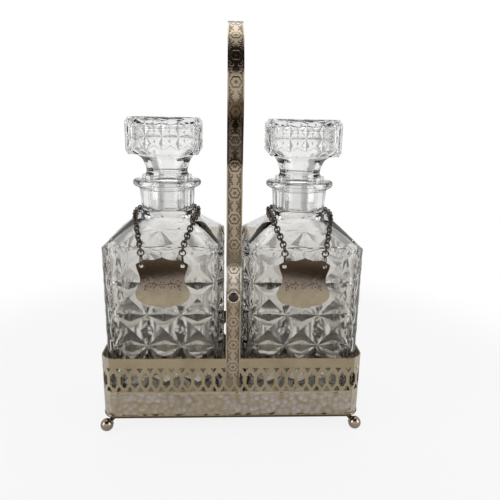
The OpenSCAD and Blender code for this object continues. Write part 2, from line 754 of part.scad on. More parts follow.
// One link at a distance along the path, in line with it, rolled one way or the other
module chain_link(s, roll) {
  d = path_at(min(s + chord, path_len)) - path_at(max(s - chord, 0));
  translate(path_at(s)) rotate([0, atan2(norm([d[0], d[1]]), d[2]), atan2(d[1], d[0])])
    rotate([0, 0, roll]) oval_link(link_straight, link_mid_r, wire_r);
}

module half_chain() {
  for (k = [0 : half_links - 1])
    chain_link(first_link + k * link_step, k == 0 ? first_roll : k % 2 == 0 ? link_roll : -link_roll);
}

module label_chain(side) {
  color("dimgray")
  translate([side * decanter_x, 0, 0]) {
    half_chain();
    mirror([1, 0, 0]) half_chain();
    translate(chain_path[last]) rotate([0, 90, 0])
      rotate([0, 0, half_links % 2 == 0 ? -link_roll : link_roll])
      oval_link(link_straight, link_mid_r, wire_r);
    for (x = [-hole_x, hole_x])
      translate([x, -hang_y, ring_z]) rotate([90, 0, 0])
        rotate_extrude() translate([ring_mid_r, 0]) circle(r = wire_r, $fn = 16);
  }
}

base_plate();
gallery_wall();
foot_ball(-1, -1);  // foot_ball_front_left
foot_ball(1, -1);  // foot_ball_front_right
foot_ball(-1, 1);  // foot_ball_back_left
foot_ball(1, 1);  // foot_ball_back_right
foot_bracket(-1, -1);  // foot_bracket_front_left
foot_bracket(1, -1);  // foot_bracket_front_right
foot_bracket(-1, 1);  // foot_bracket_back_left
foot_bracket(1, 1);  // foot_bracket_back_right
upright(-1);  // upright_front
upright(1);  // upright_back
pivot_rivet(-1);  // pivot_rivet_front
pivot_rivet(1);  // pivot_rivet_back
pivot_washer(-1);  // pivot_washer_front
pivot_washer(1);  // pivot_washer_back
swing_handle();
decanter(-1);  // decanter_left
decanter(1);  // decanter_right
stopper(-1);  // stopper_left
stopper(1);  // stopper_right
stopper_seal(-1);  // stopper_seal_left
stopper_seal(1);  // stopper_seal_right
label(-1);  // label_left
label(1);  // label_right
label_link(-1);  // label_link_left
label_link(1);  // label_link_right
label_chain(-1);  // label_chain_left
label_chain(1);  // label_chain_right
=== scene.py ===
import math
import bmesh
import bpy
from mathutils import Matrix, Vector


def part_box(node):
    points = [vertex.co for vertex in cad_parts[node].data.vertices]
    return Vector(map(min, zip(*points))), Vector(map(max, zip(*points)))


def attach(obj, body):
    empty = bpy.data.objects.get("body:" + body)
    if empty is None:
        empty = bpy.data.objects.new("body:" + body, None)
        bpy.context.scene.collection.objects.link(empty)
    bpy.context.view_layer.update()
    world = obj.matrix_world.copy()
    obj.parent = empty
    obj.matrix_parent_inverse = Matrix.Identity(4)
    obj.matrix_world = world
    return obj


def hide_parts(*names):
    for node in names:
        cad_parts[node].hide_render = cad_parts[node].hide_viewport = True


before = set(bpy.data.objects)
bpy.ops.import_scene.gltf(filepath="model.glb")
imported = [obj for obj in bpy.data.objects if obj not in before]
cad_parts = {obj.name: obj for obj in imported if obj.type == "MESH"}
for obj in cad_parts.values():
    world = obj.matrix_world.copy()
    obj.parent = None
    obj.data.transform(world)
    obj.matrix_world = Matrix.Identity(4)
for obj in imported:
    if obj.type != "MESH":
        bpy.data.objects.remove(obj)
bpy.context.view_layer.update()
MM = 0.001
SIDES = {"left": -1, "right": 1}
SAME_PLACE = 1e-6


def rgb(red, green, blue):
    return (red, green, blue, 1)


# Camera, at the viewing angle of the photograph
IMAGE_W = 500
FOCAL_PX = 499.4
SENSOR_MM = 36
CAMERA_PLACE = Vector((-5.4856, -396.161, 241.362)) * MM
CAMERA_PITCH = 0.26077
CAMERA_YAW = 0.04893
CAMERA_ROLL = 0.0189
CAMERA_NEAREST = 0.01
CAMERA_FARTHEST = 20


def make_camera():
    data = bpy.data.cameras.new("camera")
    data.sensor_width = SENSOR_MM
    data.lens = FOCAL_PX / IMAGE_W * SENSOR_MM
    data.clip_start = CAMERA_NEAREST
    data.clip_end = CAMERA_FARTHEST
    camera = bpy.data.objects.new("camera", data)
    bpy.context.scene.collection.objects.link(camera)
    ahead = Vector((
        math.cos(CAMERA_PITCH) * math.sin(CAMERA_YAW),
        math.cos(CAMERA_PITCH) * math.cos(CAMERA_YAW),
        -math.sin(CAMERA_PITCH),
    ))
    level = Vector((math.cos(CAMERA_YAW), -math.sin(CAMERA_YAW), 0))
    upward = level.cross(ahead)
    right = level * math.cos(CAMERA_ROLL) + upward * math.sin(CAMERA_ROLL)
    up = upward * math.cos(CAMERA_ROLL) - level * math.sin(CAMERA_ROLL)
    turn = Matrix((right, up, -ahead)).transposed().to_4x4()
    camera.matrix_world = Matrix.Translation(CAMERA_PLACE) @ turn
    bpy.context.scene.camera = camera


class Value:
    """A shader socket that can be used in a Python expression."""

    def __init__(self, tree, socket):
        self.tree = tree
        self.socket = socket

    def math(self, operation, *others, first=None):
        node = self.tree.nodes.new("ShaderNodeMath")
        node.operation = operation
        inputs = ([first] if first is not None else []) + [self] + list(others)
        for place, value in zip(node.inputs, inputs):
            if isinstance(value, Value):
                self.tree.links.new(value.socket, place)
            else:
                place.default_value = value
        return Value(self.tree, node.outputs[0])

    def __add__(self, other):
        return self.math("ADD", other)

    def __radd__(self, other):
        return self.math("ADD", other)

    def __sub__(self, other):
        return self.math("SUBTRACT", other)

    def __rsub__(self, other):
        return self.math("SUBTRACT", first=other)

    def __mul__(self, other):
        return self.math("MULTIPLY", other)

    def __rmul__(self, other):
        return self.math("MULTIPLY", other)

    def power(self, exponent):
        return self.math("POWER", exponent)

    def larger(self, other):
        return self.math("MAXIMUM", other)

    def size(self):
        return self.math("ABSOLUTE")

    def step(self, low, high, to_low=0, to_high=1):
        """Goes smoothly from to_low, below low, to to_high, above high."""
        node = self.tree.nodes.new("ShaderNodeMapRange")
        node.interpolation_type = "SMOOTHSTEP"
        self.tree.links.new(self.socket, node.inputs["Value"])
        for name, value in zip(("From Min", "From Max", "To Min", "To Max"), (low, high, to_low, to_high)):
            node.inputs[name].default_value = value
        return Value(self.tree, node.outputs["Result"])

    def fall(self, low, high):
        """Goes smoothly from 1, below low, to 0, above high."""
        return self.step(low, high, 1, 0)

    def between(self, start, full, fading, end):
        """Rises smoothly from 0 to 1 between start and full, and falls to 0 between fading and end."""
        return self.step(start, full) * self.fall(fading, end)

    def stroke(self, solid, end):
        """1 where the value is within solid of zero, and 0 from end on."""
        return self.size().fall(solid, end)


class Finish:
    """A material, or the world, with short ways to add nodes to it."""

    def __init__(self, name, world=False):
        self.block = (bpy.data.worlds if world else bpy.data.materials).new(name)
        self.block.use_nodes = True
        self.tree = self.block.node_tree
        self.tree.nodes.clear()

    def node(self, kind, settings=None, inputs=None, output=0):
        node = self.tree.nodes.new("ShaderNode" + kind)
        for name, value in (settings or {}).items():
            setattr(node, name, value)
        for name, value in (inputs or {}).items():
            if isinstance(value, Value):
                self.tree.links.new(value.socket, node.inputs[name])
            else:
                node.inputs[name].default_value = value
        return Value(self.tree, node.outputs[output])

    def place(self):
        return self.node("TexCoord", output="Object")

    def split(self, vector):
        return [self.node("SeparateXYZ", inputs={"Vector": vector}, output=axis) for axis in "XYZ"]

    def stretched(self, vector, scale):
        return self.node("Mapping", inputs={"Vector": vector, "Scale": scale})

    def noise(self, vector, scale, detail, roughness=0.5):
        return self.node("TexNoise", inputs={
            "Vector": vector, "Scale": scale, "Detail": detail, "Roughness": roughness,
        })

    def cells(self, vector, scale, feature):
        inputs = {"Vector": vector, "Scale": scale}
        return self.node("TexVoronoi", {"feature": feature}, inputs, "Distance")

    def ray(self, kind):
        """1 for rays of this kind, and 0 for others."""
        return self.node("LightPath", output="Is " + kind + " Ray")

    def blend(self, share, low, high):
        """A colour that goes from low to high with share."""
        return self.node("Mix", {"data_type": "RGBA"}, {0: share, 6: low, 7: high}, 2)

    def bump(self, height, distance, strength=1, under=None):
        inputs = {"Height": height, "Distance": distance, "Strength": strength}
        if under is not None:
            inputs["Normal"] = under
        return self.node("Bump", inputs=inputs)

    def surface(self, **inputs):
        named = {name.replace("_", " "): value for name, value in inputs.items()}
        shader = self.node("BsdfPrincipled", inputs=named)
        self.finish(shader)
        return self.block

    def finish(self, shader):
        kind = "World" if isinstance(self.block, bpy.types.World) else "Material"
        output = self.tree.nodes.new("ShaderNodeOutput" + kind)
        self.tree.links.new(shader.socket, output.inputs["Surface"])


# Stage: floor, studio surroundings and lamps
WHITE = rgb(1, 1, 1)
FLOOR_RADIUS = 0.44
FLOOR_RIM = (FLOOR_RADIUS * 0.6, FLOOR_RADIUS * 0.98)
FLOOR_PAPER = rgb(0.62, 0.62, 0.61)
FLOOR_SEEN = 0.86
FLOOR_SHOWN = 0.35
ROOM_WALL = rgb(0.88, 0.88, 0.87)
ROOM_GLOOM = rgb(0.018, 0.015, 0.013)
ROOM_BROWN = rgb(0.11, 0.07, 0.03)
# Where the room changes, as parts of a direction of length 1
FRONT_EDGE = (-0.05, 0.12)
ABOVE_EDGE = (0.62, 0.72)
BELOW_EDGE = (-0.268, -0.255)
BESIDE_GAP = (0.17, 0.27, 0.42, 0.52)
OVER_GAP = (0.10, 0.20, 0.42, 0.55)
SIDE_EDGE = (0.80, 0.92)
SIDE_TOP = (0.35, 0.5)
BROWN_BAND = (-0.303, -0.288, -0.26, -0.25)
# How dark the gaps are, and how much of the dark front is lost on rays that went through glass
BESIDE_DARK = 0.6
OVER_DARK = 0.3
SIDE_DARK = 0.4
THROUGH_LOSS = 0.65
# Name, place, aim, width, depth and power of each lamp
LAMPS = [
    ("overhead", (0, 0.5, 0.95), (0, 0, 0.1), 0.9, 0.6, 1.9),
    ("left_softbox", (-0.75, -0.35, 0.45), (0, 0, 0.12), 0.5, 0.7, 2.5),
    ("right_softbox", (0.75, -0.35, 0.45), (0, 0, 0.12), 0.5, 0.7, 2.5),
]


def make_world():
    """White where it is seen, with pale walls, dark gaps between them and a dark room in front, for gloss."""
    world = Finish("studio", world=True)
    through = world.ray("Transmission")
    x, y, z = world.split(world.node("TexCoord", output="Generated"))
    front = (y * -1).step(*FRONT_EDGE)
    front_dark = front * z.step(*ABOVE_EDGE).larger(z.fall(*BELOW_EDGE)) * (1 - through * THROUGH_LOSS)
    beside = x.size().between(*BESIDE_GAP)
    over = z.between(*OVER_GAP)
    back_dark = (1 - front) * (beside * BESIDE_DARK).larger(over * OVER_DARK)
    side = x.size().step(*SIDE_EDGE) * z.fall(*SIDE_TOP)
    dark = front_dark.larger(back_dark).larger(side * SIDE_DARK * (1 - through))
    gloom = world.blend(front * z.between(*BROWN_BAND), ROOM_GLOOM, ROOM_BROWN)
    room = world.blend(dark, ROOM_WALL, gloom)
    room = world.blend(world.ray("Camera"), room, WHITE)
    world.finish(world.node("Background", inputs={"Color": room, "Strength": 1}))
    bpy.context.scene.world = world.block


def make_floor():
    """A round sheet of paper, almost white where it is seen and dimmer in gloss and through glass."""
    bm = bmesh.new()
    bmesh.ops.create_circle(bm, cap_ends=True, segments=96, radius=FLOOR_RADIUS)
    floor = add_mesh("floor", bm)
    finish = Finish("floor")
    shown = finish.ray("Glossy") + finish.ray("Transmission")
    x, y = finish.split(finish.place())[:2]
    rim = (x.power(2) + y.power(2)).math("SQRT").step(*FLOOR_RIM)
    paper = finish.node("BsdfDiffuse", inputs={"Color": FLOOR_PAPER})
    white = finish.node("Emission", inputs={"Color": WHITE, "Strength": 1})
    share = (finish.ray("Camera") * (FLOOR_SEEN + rim * (1 - FLOOR_SEEN))).larger(shown * FLOOR_SHOWN)
    finish.finish(finish.node("MixShader", inputs={0: share, 1: paper, 2: white}))
    floor.data.materials.append(finish.block)


def make_lamp(name, place, aim, width, depth, power):
    data = bpy.data.lights.new(name, "AREA")
    data.shape = "RECTANGLE"
    data.size = width
    data.size_y = depth
    data.energy = power
    lamp = bpy.data.objects.new(name, data)
    bpy.context.scene.collection.objects.link(lamp)
    way = Vector(aim) - Vector(place)
    lamp.matrix_world = Matrix.Translation(place) @ way.to_track_quat("-Z", "Y").to_matrix().to_4x4()


# Mesh helpers
def add_mesh(name, bm, smooth_angle=None):
    mesh = bpy.data.meshes.new(name)
    bm.to_mesh(mesh)
    bm.free()
    piece = bpy.data.objects.new(name, mesh)
    bpy.context.scene.collection.objects.link(piece)
    if smooth_angle is not None:
        mesh.set_sharp_from_angle(angle=smooth_angle)
    return piece


def finish_piece(piece, material, body, slot, *nodes):
    """Gives a new piece its material and its body, and hides the CAD nodes that it stands for. The slot is
    not used.
    """
    piece.data.materials.append(material)
    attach(piece, body)
    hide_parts(*nodes)


def verts_of(result):
    return [item for item in result["geom"] if isinstance(item, bmesh.types.BMVert)]


def edges_of(result):
    return [item for item in result["geom"] if isinstance(item, bmesh.types.BMEdge)]


def edges_at(verts):
    """The edges at these vertices, each once and in the same order each run."""
    return list(dict.fromkeys(e for v in verts for e in v.link_edges))


def dress(node, material):
    """Gives a CAD node its material."""
    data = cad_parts[node].data
    data.materials.clear()
    data.materials.append(material)


# Glass: square parts with round corners, given by half a flat side and by the corner's radius
BODY_FLAT = 37.8 * MM
BODY_CORNER = 7.2 * MM
BODY_COLS = 3
BODY_ROWS = 5
STAR_DEPTH = 3.2 * MM
STAR_FOOT = 20.9 * MM
RIDGE_REACH = 0.4
SHOULDER_Z = 146.9 * MM
SHOULDER_SLOPE = 0.78
NECK_Z = 166.1 * MM
NECK_JOIN_R = 23.4 * MM
DECANTER_X = 52.1 * MM
HEAD_FLAT = 24 * MM
HEAD_BEVEL = 3 * MM
HEAD_COLS = 4
HEAD_ROWS = 2
HEAD_DEPTH = 0.95 * MM
HEAD_LOW = 216.6 * MM
HEAD_HIGH = 236.6 * MM
HEAD_SLOPE = 1.9
HEAD_BOTTOM = 213.6 * MM
HEAD_FOOT_FLAT = 25 * MM
HEAD_TOP = 240.2 * MM
HEAD_DIP = 0.8 * MM
PANEL_DEPTH = 0.7 * MM
GLASS_CREASE = math.radians(35)
# Share of the depth that each kind of place in the pressed pattern has
FACE_SHARES = {"star": 0.15, "beside": 1, "above": 1, "centre": 0.75, "ridge": 0}
CORNER_SHARES = {"star": 0.1, "beside": 0.05, "above": 0.45, "centre": 0.35, "ridge": 0.15}
PANEL_SHARES = {"star": 0.2, "beside": 0.8, "above": 0.8, "centre": 1, "ridge": 0.1}
# Share of the pattern left on the corners, and cuts of each half cell of a face and of a corner column
BODY_PRESSING = (0.6, 2, 6)
HEAD_PRESSING = (0.1, 1, 4)
# Ends of the sloping shoulder, outside and inside: height, half flat, corner radius and roundness
CONE_STEPS = 8
SHOULDER_LOW_RING = (SHOULDER_Z + 1.9 * MM, BODY_FLAT - 2.4 * MM, BODY_CORNER, 0)
SHOULDER_HIGH_RING = (NECK_Z - 0.3 * MM, 0, NECK_JOIN_R, 1)
CAVITY_HIGH_RING = (163.1 * MM, 0, 15.9 * MM, 1)
CAVITY_LOW_RING = (146.4 * MM, 32.8 * MM, 6.4 * MM, 0)
# Rings of a square part: height, half flat and corner radius, in millimetres
FOOT_RINGS = [
    (17.6, 37.8, 7.2), (15.7, 37.8, 7.2), (14.6, 37.2, 7.2), (13.7, 36.2, 7.2), (13.2, 34.6, 7.2),
    (13.2, 30, 7.2), (14, 26, 7.2),
]
CAVITY_RINGS = [
    (145.2, 34.0, 5.9), (143.6, 34.3, 5.7), (60, 34.3, 5.7), (26, 34.3, 5.7), (23.6, 33.7, 5.7),
    (22.0, 32.2, 5.7), (21.4, 29.5, 5.7), (21.2, 20, 5.7),
]
# Rings of a round part: height and radius, in millimetres
NECK_RINGS = [
    (166.2, 22.9), (167.1, 21.8), (168.4, 20.95), (170.6, 20.4), (178, 20.85), (185.4, 21.4),
    (187.0, 22.3), (188.0, 23.8), (188.6, 25.3), (189.4, 26.1), (190.5, 26.4), (191.8, 26.3),
    (192.6, 25.9), (193.1, 25.1), (193.2, 24.2), (193.2, 18.2), (193.0, 17.0), (192.3, 16.0),
    (191.0, 15.6), (180, 15.6), (169, 15.6), (164.4, 15.6),
]
STEM_RINGS = [
    (208, 18.4), (206, 17.6), (203, 16.4), (200, 15.8), (198.4, 16.0), (197.2, 16.8), (196.8, 16.8),
    (196.8, 14.2), (196.6, 13.6), (190, 13.6), (180, 13.55), (171.5, 13.5), (170.4, 13.1), (169.9, 12.4),
    (169.9, 11.2), (170.6, 10.6), (174, 10.4), (190, 10.4), (198, 11), (202, 12), (206, 13.6), (209, 14.8),
]
# Rings between square and round: height, half flat, corner radius and roundness
UNDER_HEAD_RINGS = [
    (213.4, 17, 6.6, 0.2), (212.8, 12.5, 9.6, 0.4), (211.9, 8.5, 12.4, 0.6), (210.8, 5, 15.0, 0.8),
    (209.6, 2, 17.2, 0.9),
]
HEAD_CAVITY_RINGS = [
    (211.5, 5, 12, 0.8), (213.5, 11, 8.5, 0.5), (215.5, 17, 4.5, 0.2), (217, 20, 2.5, 0), (218.5, 21, 2, 0),
    (232.6, 21, 2, 0), (234.4, 20, 2, 0), (235, 17.5, 2, 0),
]


def square_ring(turn, flat, corner, lift=0):
    """Point on a square with round corners: turn counts quarters from the middle of the front."""
    quarter = math.floor(turn)
    arc = corner * math.pi / 2
    along = (turn - quarter) * (2 * flat + arc)
    if along <= flat:
        point, way = Vector((along, -flat - corner, 0)), Vector((0, -1, 0))
    elif along < flat + arc:
        angle = (along - flat) / corner
        way = Vector((math.sin(angle), -math.cos(angle), 0))
        point = Vector((flat, -flat, 0)) + way * corner
    else:
        point, way = Vector((flat + corner, along - flat - arc - flat, 0)), Vector((1, 0, 0))
    spot = point + way * lift
    spot.rotate(Matrix.Rotation(quarter * math.pi / 2, 3, "Z"))
    return spot


def cell_kind(v):
    """Star at a corner of a cell, middle of an edge of a cell, or centre of a cell."""
    x, y = round(2 * v.co.x) % 2, round(2 * v.co.y) % 2
    return ("star", "beside", "above", "centre")[x + 2 * y]


def star_sheet(cols, rows):
    """A flat sheet of unit cells, creased along the rays of a star at every corner of a cell."""
    bm = bmesh.new()
    bmesh.ops.create_grid(bm, x_segments=2 * cols, y_segments=2 * rows, size=1)
    bmesh.ops.translate(bm, verts=bm.verts, vec=(1, 1, 0))
    bmesh.ops.scale(bm, verts=bm.verts, vec=(cols / 2, rows / 2, 1))
    kinds = {v: cell_kind(v) for v in bm.verts}
    for centre in [v for v in bm.verts if kinds[v] == "centre"]:
        for edge in list(centre.link_edges):
            ridge = bmesh.utils.edge_split(edge, edge.other_vert(centre), RIDGE_REACH)[1]
            kinds[ridge] = "ridge"
    for face in list(bm.faces):
        star = next(v for v in face.verts if kinds[v] == "star")
        centre = next(v for v in face.verts if kinds[v] == "centre")
        ridges = [v for v in face.verts if kinds[v] == "ridge"]
        bmesh.ops.connect_vert_pair(bm, verts=[star, centre])
        for ridge in ridges:
            bmesh.ops.connect_vert_pair(bm, verts=[star, ridge])
    return bm, kinds


def pressed_sheet(cols, rows, depth, corner_share, face_cuts, corner_cuts):
    """The star sheet of a whole block: four faces of cols cells, each with a corner column after it."""
    bm, kinds = star_sheet(4 * (cols + 1), rows)
    for v in bm.verts:
        at_corner = cols < v.co.x % (cols + 1) < cols + 1
        v.co.z = -depth * (CORNER_SHARES[kinds[v]] * corner_share if at_corner else FACE_SHARES[kinds[v]])
    for block in range(4):
        start = block * (cols + 1)
        cuts = [start + k / face_cuts / 2 for k in range(2 * face_cuts * cols)]
        cuts += [start + cols + k / corner_cuts for k in range(corner_cuts)]
        for cut in cuts:
            if cut > 0:
                geom = list(bm.verts) + list(bm.edges) + list(bm.faces)
                bmesh.ops.bisect_plane(bm, geom=geom, dist=SAME_PLACE, plane_co=(cut, 0, 0),
                                       plane_no=(1, 0, 0))
    return bm


def quarter_turn(column, cols, flat, corner):
    """How far round a block of these sizes a column of its sheet comes, in quarters."""
    block, rest = divmod(column, cols + 1)
    arc = corner * math.pi / 2
    along = (2 * rest / cols - 1) * flat if rest <= cols else flat + (rest - cols) * arc
    return block + along / (2 * flat + arc)


class Block:
    """A square glass block that grows up and down from a pressed star sheet wrapped round it."""

    def __init__(self, cols, rows, depth, flat, corner, low, high, slope, pressing):
        self.bm = pressed_sheet(cols, rows, depth, *pressing)
        self.cols, self.flat, self.corner = cols, flat, corner
        self.column = self.bm.verts.layers.float.new("column")
        for v in self.bm.verts:
            v[self.column] = v.co.x
            spot = square_ring(quarter_turn(v.co.x, cols, flat, corner), flat, corner, v.co.z)
            spot.z = low + (high - low) * v.co.y / rows
            spot.z -= slope * v.co.z * {0: -1, rows: 1}.get(round(v.co.y, 4), 0)
            v.co = spot
        bmesh.ops.remove_doubles(self.bm, verts=self.bm.verts, dist=SAME_PLACE)
        for face in self.bm.faces:
            middle = face.calc_center_median()
            face.smooth = min(abs(middle.x), abs(middle.y)) > flat

    def loop(self, above, level):
        """The open edge above, or else below, a level."""
        return [e for e in self.bm.edges if e.is_boundary
                and all((v.co.z > level) == above for v in e.verts)]

    def grow(self, loop, rings):
        """Grows a wall from an open loop, through rings of height, half flat, corner radius and roundness."""
        for z, flat, corner, roundness in rings:
            grown = bmesh.ops.extrude_edge_only(self.bm, edges=loop)
            loop = edges_of(grown)
            for v in verts_of(grown):
                square = quarter_turn(v[self.column], self.cols, flat, corner)
                even = quarter_turn(v[self.column], self.cols, self.flat, self.corner)
                v.co = square_ring(square + (even - square) * roundness, flat, corner)
                v.co.z = z
            for face in {f for e in loop for f in e.link_faces}:
                face.smooth = True
        return loop

    def close(self, name, x):
        """Makes the finished block a piece, with its axis at x."""
        bmesh.ops.remove_doubles(self.bm, verts=self.bm.verts, dist=SAME_PLACE)
        bmesh.ops.recalc_face_normals(self.bm, faces=self.bm.faces)
        bmesh.ops.translate(self.bm, verts=self.bm.verts, vec=(x, 0, 0))
        return add_mesh(name, self.bm, GLASS_CREASE)


def cone_rings(first, last):
    """Rings of a shape that goes evenly from one ring to another."""
    shares = [k / CONE_STEPS for k in range(CONE_STEPS + 1)]
    return [[a + (b - a) * share for a, b in zip(first, last)] for share in shares]


def mixed_rings(rings):
    return [(z * MM, flat * MM, corner * MM, roundness) for z, flat, corner, roundness in rings]


def square_rings(rings):
    return mixed_rings([(z, flat, corner, 0) for z, flat, corner in rings])


def round_rings(rings):
    return mixed_rings([(z, 0, radius, 1) for z, radius in rings])


def make_decanter(side, glass):
    """A bottle, with its outer wall, neck and cavity in one skin."""
    block = Block(BODY_COLS, BODY_ROWS, STAR_DEPTH, BODY_FLAT, BODY_CORNER, STAR_FOOT, SHOULDER_Z,
                  SHOULDER_SLOPE, BODY_PRESSING)
    middle = (STAR_FOOT + SHOULDER_Z) / 2
    top = block.loop(True, middle)
    foot = block.grow(block.loop(False, middle), square_rings(FOOT_RINGS))
    bmesh.ops.contextual_create(block.bm, geom=foot)
    top = block.grow(top, cone_rings(SHOULDER_LOW_RING, SHOULDER_HIGH_RING))
    top = block.grow(top, round_rings(NECK_RINGS))
    top = block.grow(top, cone_rings(CAVITY_HIGH_RING, CAVITY_LOW_RING))
    bottom = block.grow(top, square_rings(CAVITY_RINGS))
    bmesh.ops.contextual_create(block.bm, geom=bottom)
    piece = block.close("glass_body_" + side, SIDES[side] * DECANTER_X)
    finish_piece(piece, glass, side + "_decanter", "glass", "decanter_" + side)


def add_panel(bm):
    """Lays a square of stars, a little sunk inside its rim, on top of a stopper head."""
    panel, kinds = star_sheet(HEAD_COLS, HEAD_COLS)
    bmesh.ops.translate(panel, verts=panel.verts, vec=(-HEAD_COLS / 2, -HEAD_COLS / 2, 0))
    bmesh.ops.scale(panel, verts=panel.verts, vec=[2 * HEAD_FLAT / HEAD_COLS] * 3)
    for v in panel.verts:
        v.co.z = HEAD_TOP - (0 if v.is_boundary else PANEL_DEPTH * PANEL_SHARES[kinds[v]])
    sheet = bpy.data.meshes.new("panel")
    panel.to_mesh(sheet)
    panel.free()
    bm.from_mesh(sheet)
    bpy.data.meshes.remove(sheet)


def make_stopper(side, glass):
    """A stopper that is hollow from its plug to its head, in one skin, with a wavy top edge."""
    block = Block(HEAD_COLS, HEAD_ROWS, HEAD_DEPTH, HEAD_FLAT, HEAD_BEVEL, HEAD_LOW, HEAD_HIGH,
                  HEAD_SLOPE, HEAD_PRESSING)
    middle = (HEAD_LOW + HEAD_HIGH) / 2
    top = block.loop(True, middle)
    stem = block.loop(False, middle)
    block.grow(top, [(HEAD_TOP, HEAD_FLAT, 0, 0)])
    add_panel(block.bm)
    stem = block.grow(stem, [(HEAD_BOTTOM, HEAD_FOOT_FLAT, 0, 0)])
    stem = block.grow(stem, mixed_rings(UNDER_HEAD_RINGS))
    stem = block.grow(stem, round_rings(STEM_RINGS))
    stem = block.grow(stem, mixed_rings(HEAD_CAVITY_RINGS))
    bmesh.ops.contextual_create(block.bm, geom=stem)
    for v in block.bm.verts:
        halves = round(min(abs(v.co.x), abs(v.co.y)) / HEAD_FLAT * HEAD_COLS)
        if v.co.z > HEAD_TOP - 0.001 * MM and halves % 2:
            v.co.z -= HEAD_DIP
    piece = block.close("glass_stopper_" + side, SIDES[side] * DECANTER_X)
    finish_piece(piece, glass, side + "_stopper", "glass", "stopper_" + side)


# Straps: the handle and the two uprights, with raised rails, scrolls and rosettes
STRAP_HALF = 5.5 * MM
STRAP_T = 1.2 * MM
RELIEF = 0.26 * MM
RAIL_IN = 4.5
RAIL_OUT = 5.3
REPEAT = 18.4
PIVOT_Z = 113.6 * MM
ARCH_Z = 250 * MM
ARCH_R = 57.4 * MM
ARM_MID = 50.2 * MM
EYE_MID = 51.05 * MM
STEP_Z = 123.1 * MM
STEP_H = 14 * MM
SWEEP_H = 46 * MM
UPRIGHT_Z = 47.7 * MM
UPRIGHT_MID = 49.7 * MM
FINE = 0.3 * MM
ACROSS = 40
EDGE_COLS = 2
BACK_COLS = 4
EDGE_LIFT = 0.6
RIM_SHARE = 0.97
RIM_HEIGHT = 0.8
ARM_STEPS = 400
STRAP_CREASE = math.radians(50)
HANDLE_LENGTH = 453 * MM
HANDLE_PHASE = 8.3 * MM
UPRIGHT_PHASE = 8.5 * MM


def arc_points(x, y, radius, start, end, count=8):
    angles = [math.radians(start + (end - start) * k / count) for k in range(count + 1)]
    return [(x + radius * math.cos(a), y + radius * math.sin(a)) for a in angles]


# Raised lines of one repeat, on the right of the middle line and above the rosette, in millimetres
SCROLLS = [
    (0.24, arc_points(2.9, 6.5, 1.2, 200, -70, 12)),
    (0.24, [(3.3, 5.4), (3.9, 4.7), (4.1, 3.6)]),
    (0.22, [(2.6, 9.2), (3.2, 8.7), (4.1, 8.9)]),
]
PETALS = 6
ROSETTE_R = 2.9
ROSETTE_WAVE = 0.6
SEED_R = 0.8
PETAL_LINE = 0.2
SEED_LINE = 0.14
PETAL_HEIGHT = 0.45
SOFT = 0.45
# Reach of the tarnish and painted shade beside raised lines and rails
HOLLOW_REACH = 0.42
RAIL_LEAD = 0.1
RAIL_TRAIL = 0.2
RAIL_SOFT = 0.3
HOLLOW_LEAD = 0.35
HOLLOW_BESIDE_RAIL = 0.7


def distance_to_line(x, y, points):
    best = 99
    for (ax, ay), (bx, by) in zip(points, points[1:]):
        run, rise = bx - ax, by - ay
        share = max(0, min(1, ((x - ax) * run + (y - ay) * rise) / (run * run + rise * rise)))
        best = min(best, math.hypot(x - ax - run * share, y - ay - rise * share))
    return best


def smooth(t):
    t = max(0, min(1, t))
    return t * t * (3 - 2 * t)


def make_relief_table(step):
    """Height and darkness of one quarter of a repeat, worked out once on a fine net of places; the darkness
    is tarnish with painted shade beside the raised lines.
    """
    table = {}
    for i in range(int(RAIL_IN / step) + 2):
        for j in range(int(REPEAT / 2 / step) + 2):
            x, y = i * step, j * step
            reach = math.hypot(x, y)
            petal = ROSETTE_R + ROSETTE_WAVE * abs(math.cos(math.atan2(y, x) * PETALS / 2))
            gaps = [distance_to_line(x, y, points) - width for width, points in SCROLLS]
            gaps += [abs(reach - petal) - PETAL_LINE, abs(reach - SEED_R) - SEED_LINE]
            near = min(gaps)
            height = smooth(0.5 - near / SOFT)
            if SEED_R < reach < petal:
                height = max(height, PETAL_HEIGHT)
            table[i, j] = height, smooth(1 - near / HOLLOW_REACH) * (1 - height)
    return table


RELIEF_STEP = 0.15
RELIEF_TABLE = make_relief_table(RELIEF_STEP)


def relief_at(across, along):
    """Height of the pattern, and how dark the hollow is, as tarnish with painted shade beside the raised
    lines, at a place on a strap in millimetres.
    """
    x = abs(across)
    if x > RAIL_IN - RAIL_LEAD:
        rise = smooth((x - RAIL_IN + RAIL_LEAD) / RAIL_SOFT)
        rail = rise * smooth((RAIL_OUT + RAIL_TRAIL - x) / RAIL_SOFT)
        return rail, 1 - rail if x < RAIL_IN + RAIL_TRAIL else 0
    y = abs((along / REPEAT + 0.5) % 1 - 0.5) * REPEAT
    height, dark = RELIEF_TABLE[round(x / RELIEF_STEP), round(y / RELIEF_STEP)]
    edge = smooth((x - RAIL_IN + HOLLOW_LEAD) / RAIL_SOFT)
    return height, max(dark, edge * HOLLOW_BESIDE_RAIL)


def handle_line(count):
    """Evenly spaced places on the handle, in the YZ plane, from eye to eye over the arch."""
    def arm(z):
        if z < STEP_Z:
            return EYE_MID
        if z < ARCH_Z - SWEEP_H:
            return EYE_MID + (ARM_MID - EYE_MID) * smooth((z - STEP_Z) / STEP_H)
        return ARM_MID + (ARCH_R - ARM_MID) * smooth((z - ARCH_Z + SWEEP_H) / SWEEP_H)

    low = PIVOT_Z - STRAP_HALF
    heights = [low + (ARCH_Z - low) * k / ARM_STEPS for k in range(ARM_STEPS)]
    rise = [(arm(z), z) for z in heights]
    angles = [math.pi * k / ARM_STEPS for k in range(ARM_STEPS + 1)]
    arch = [(ARCH_R * math.cos(a), ARCH_Z + ARCH_R * math.sin(a)) for a in angles]
    points = rise + arch + [(-y, z) for y, z in reversed(rise)]
    return even_line([Vector((y, z)) for y, z in points], count)


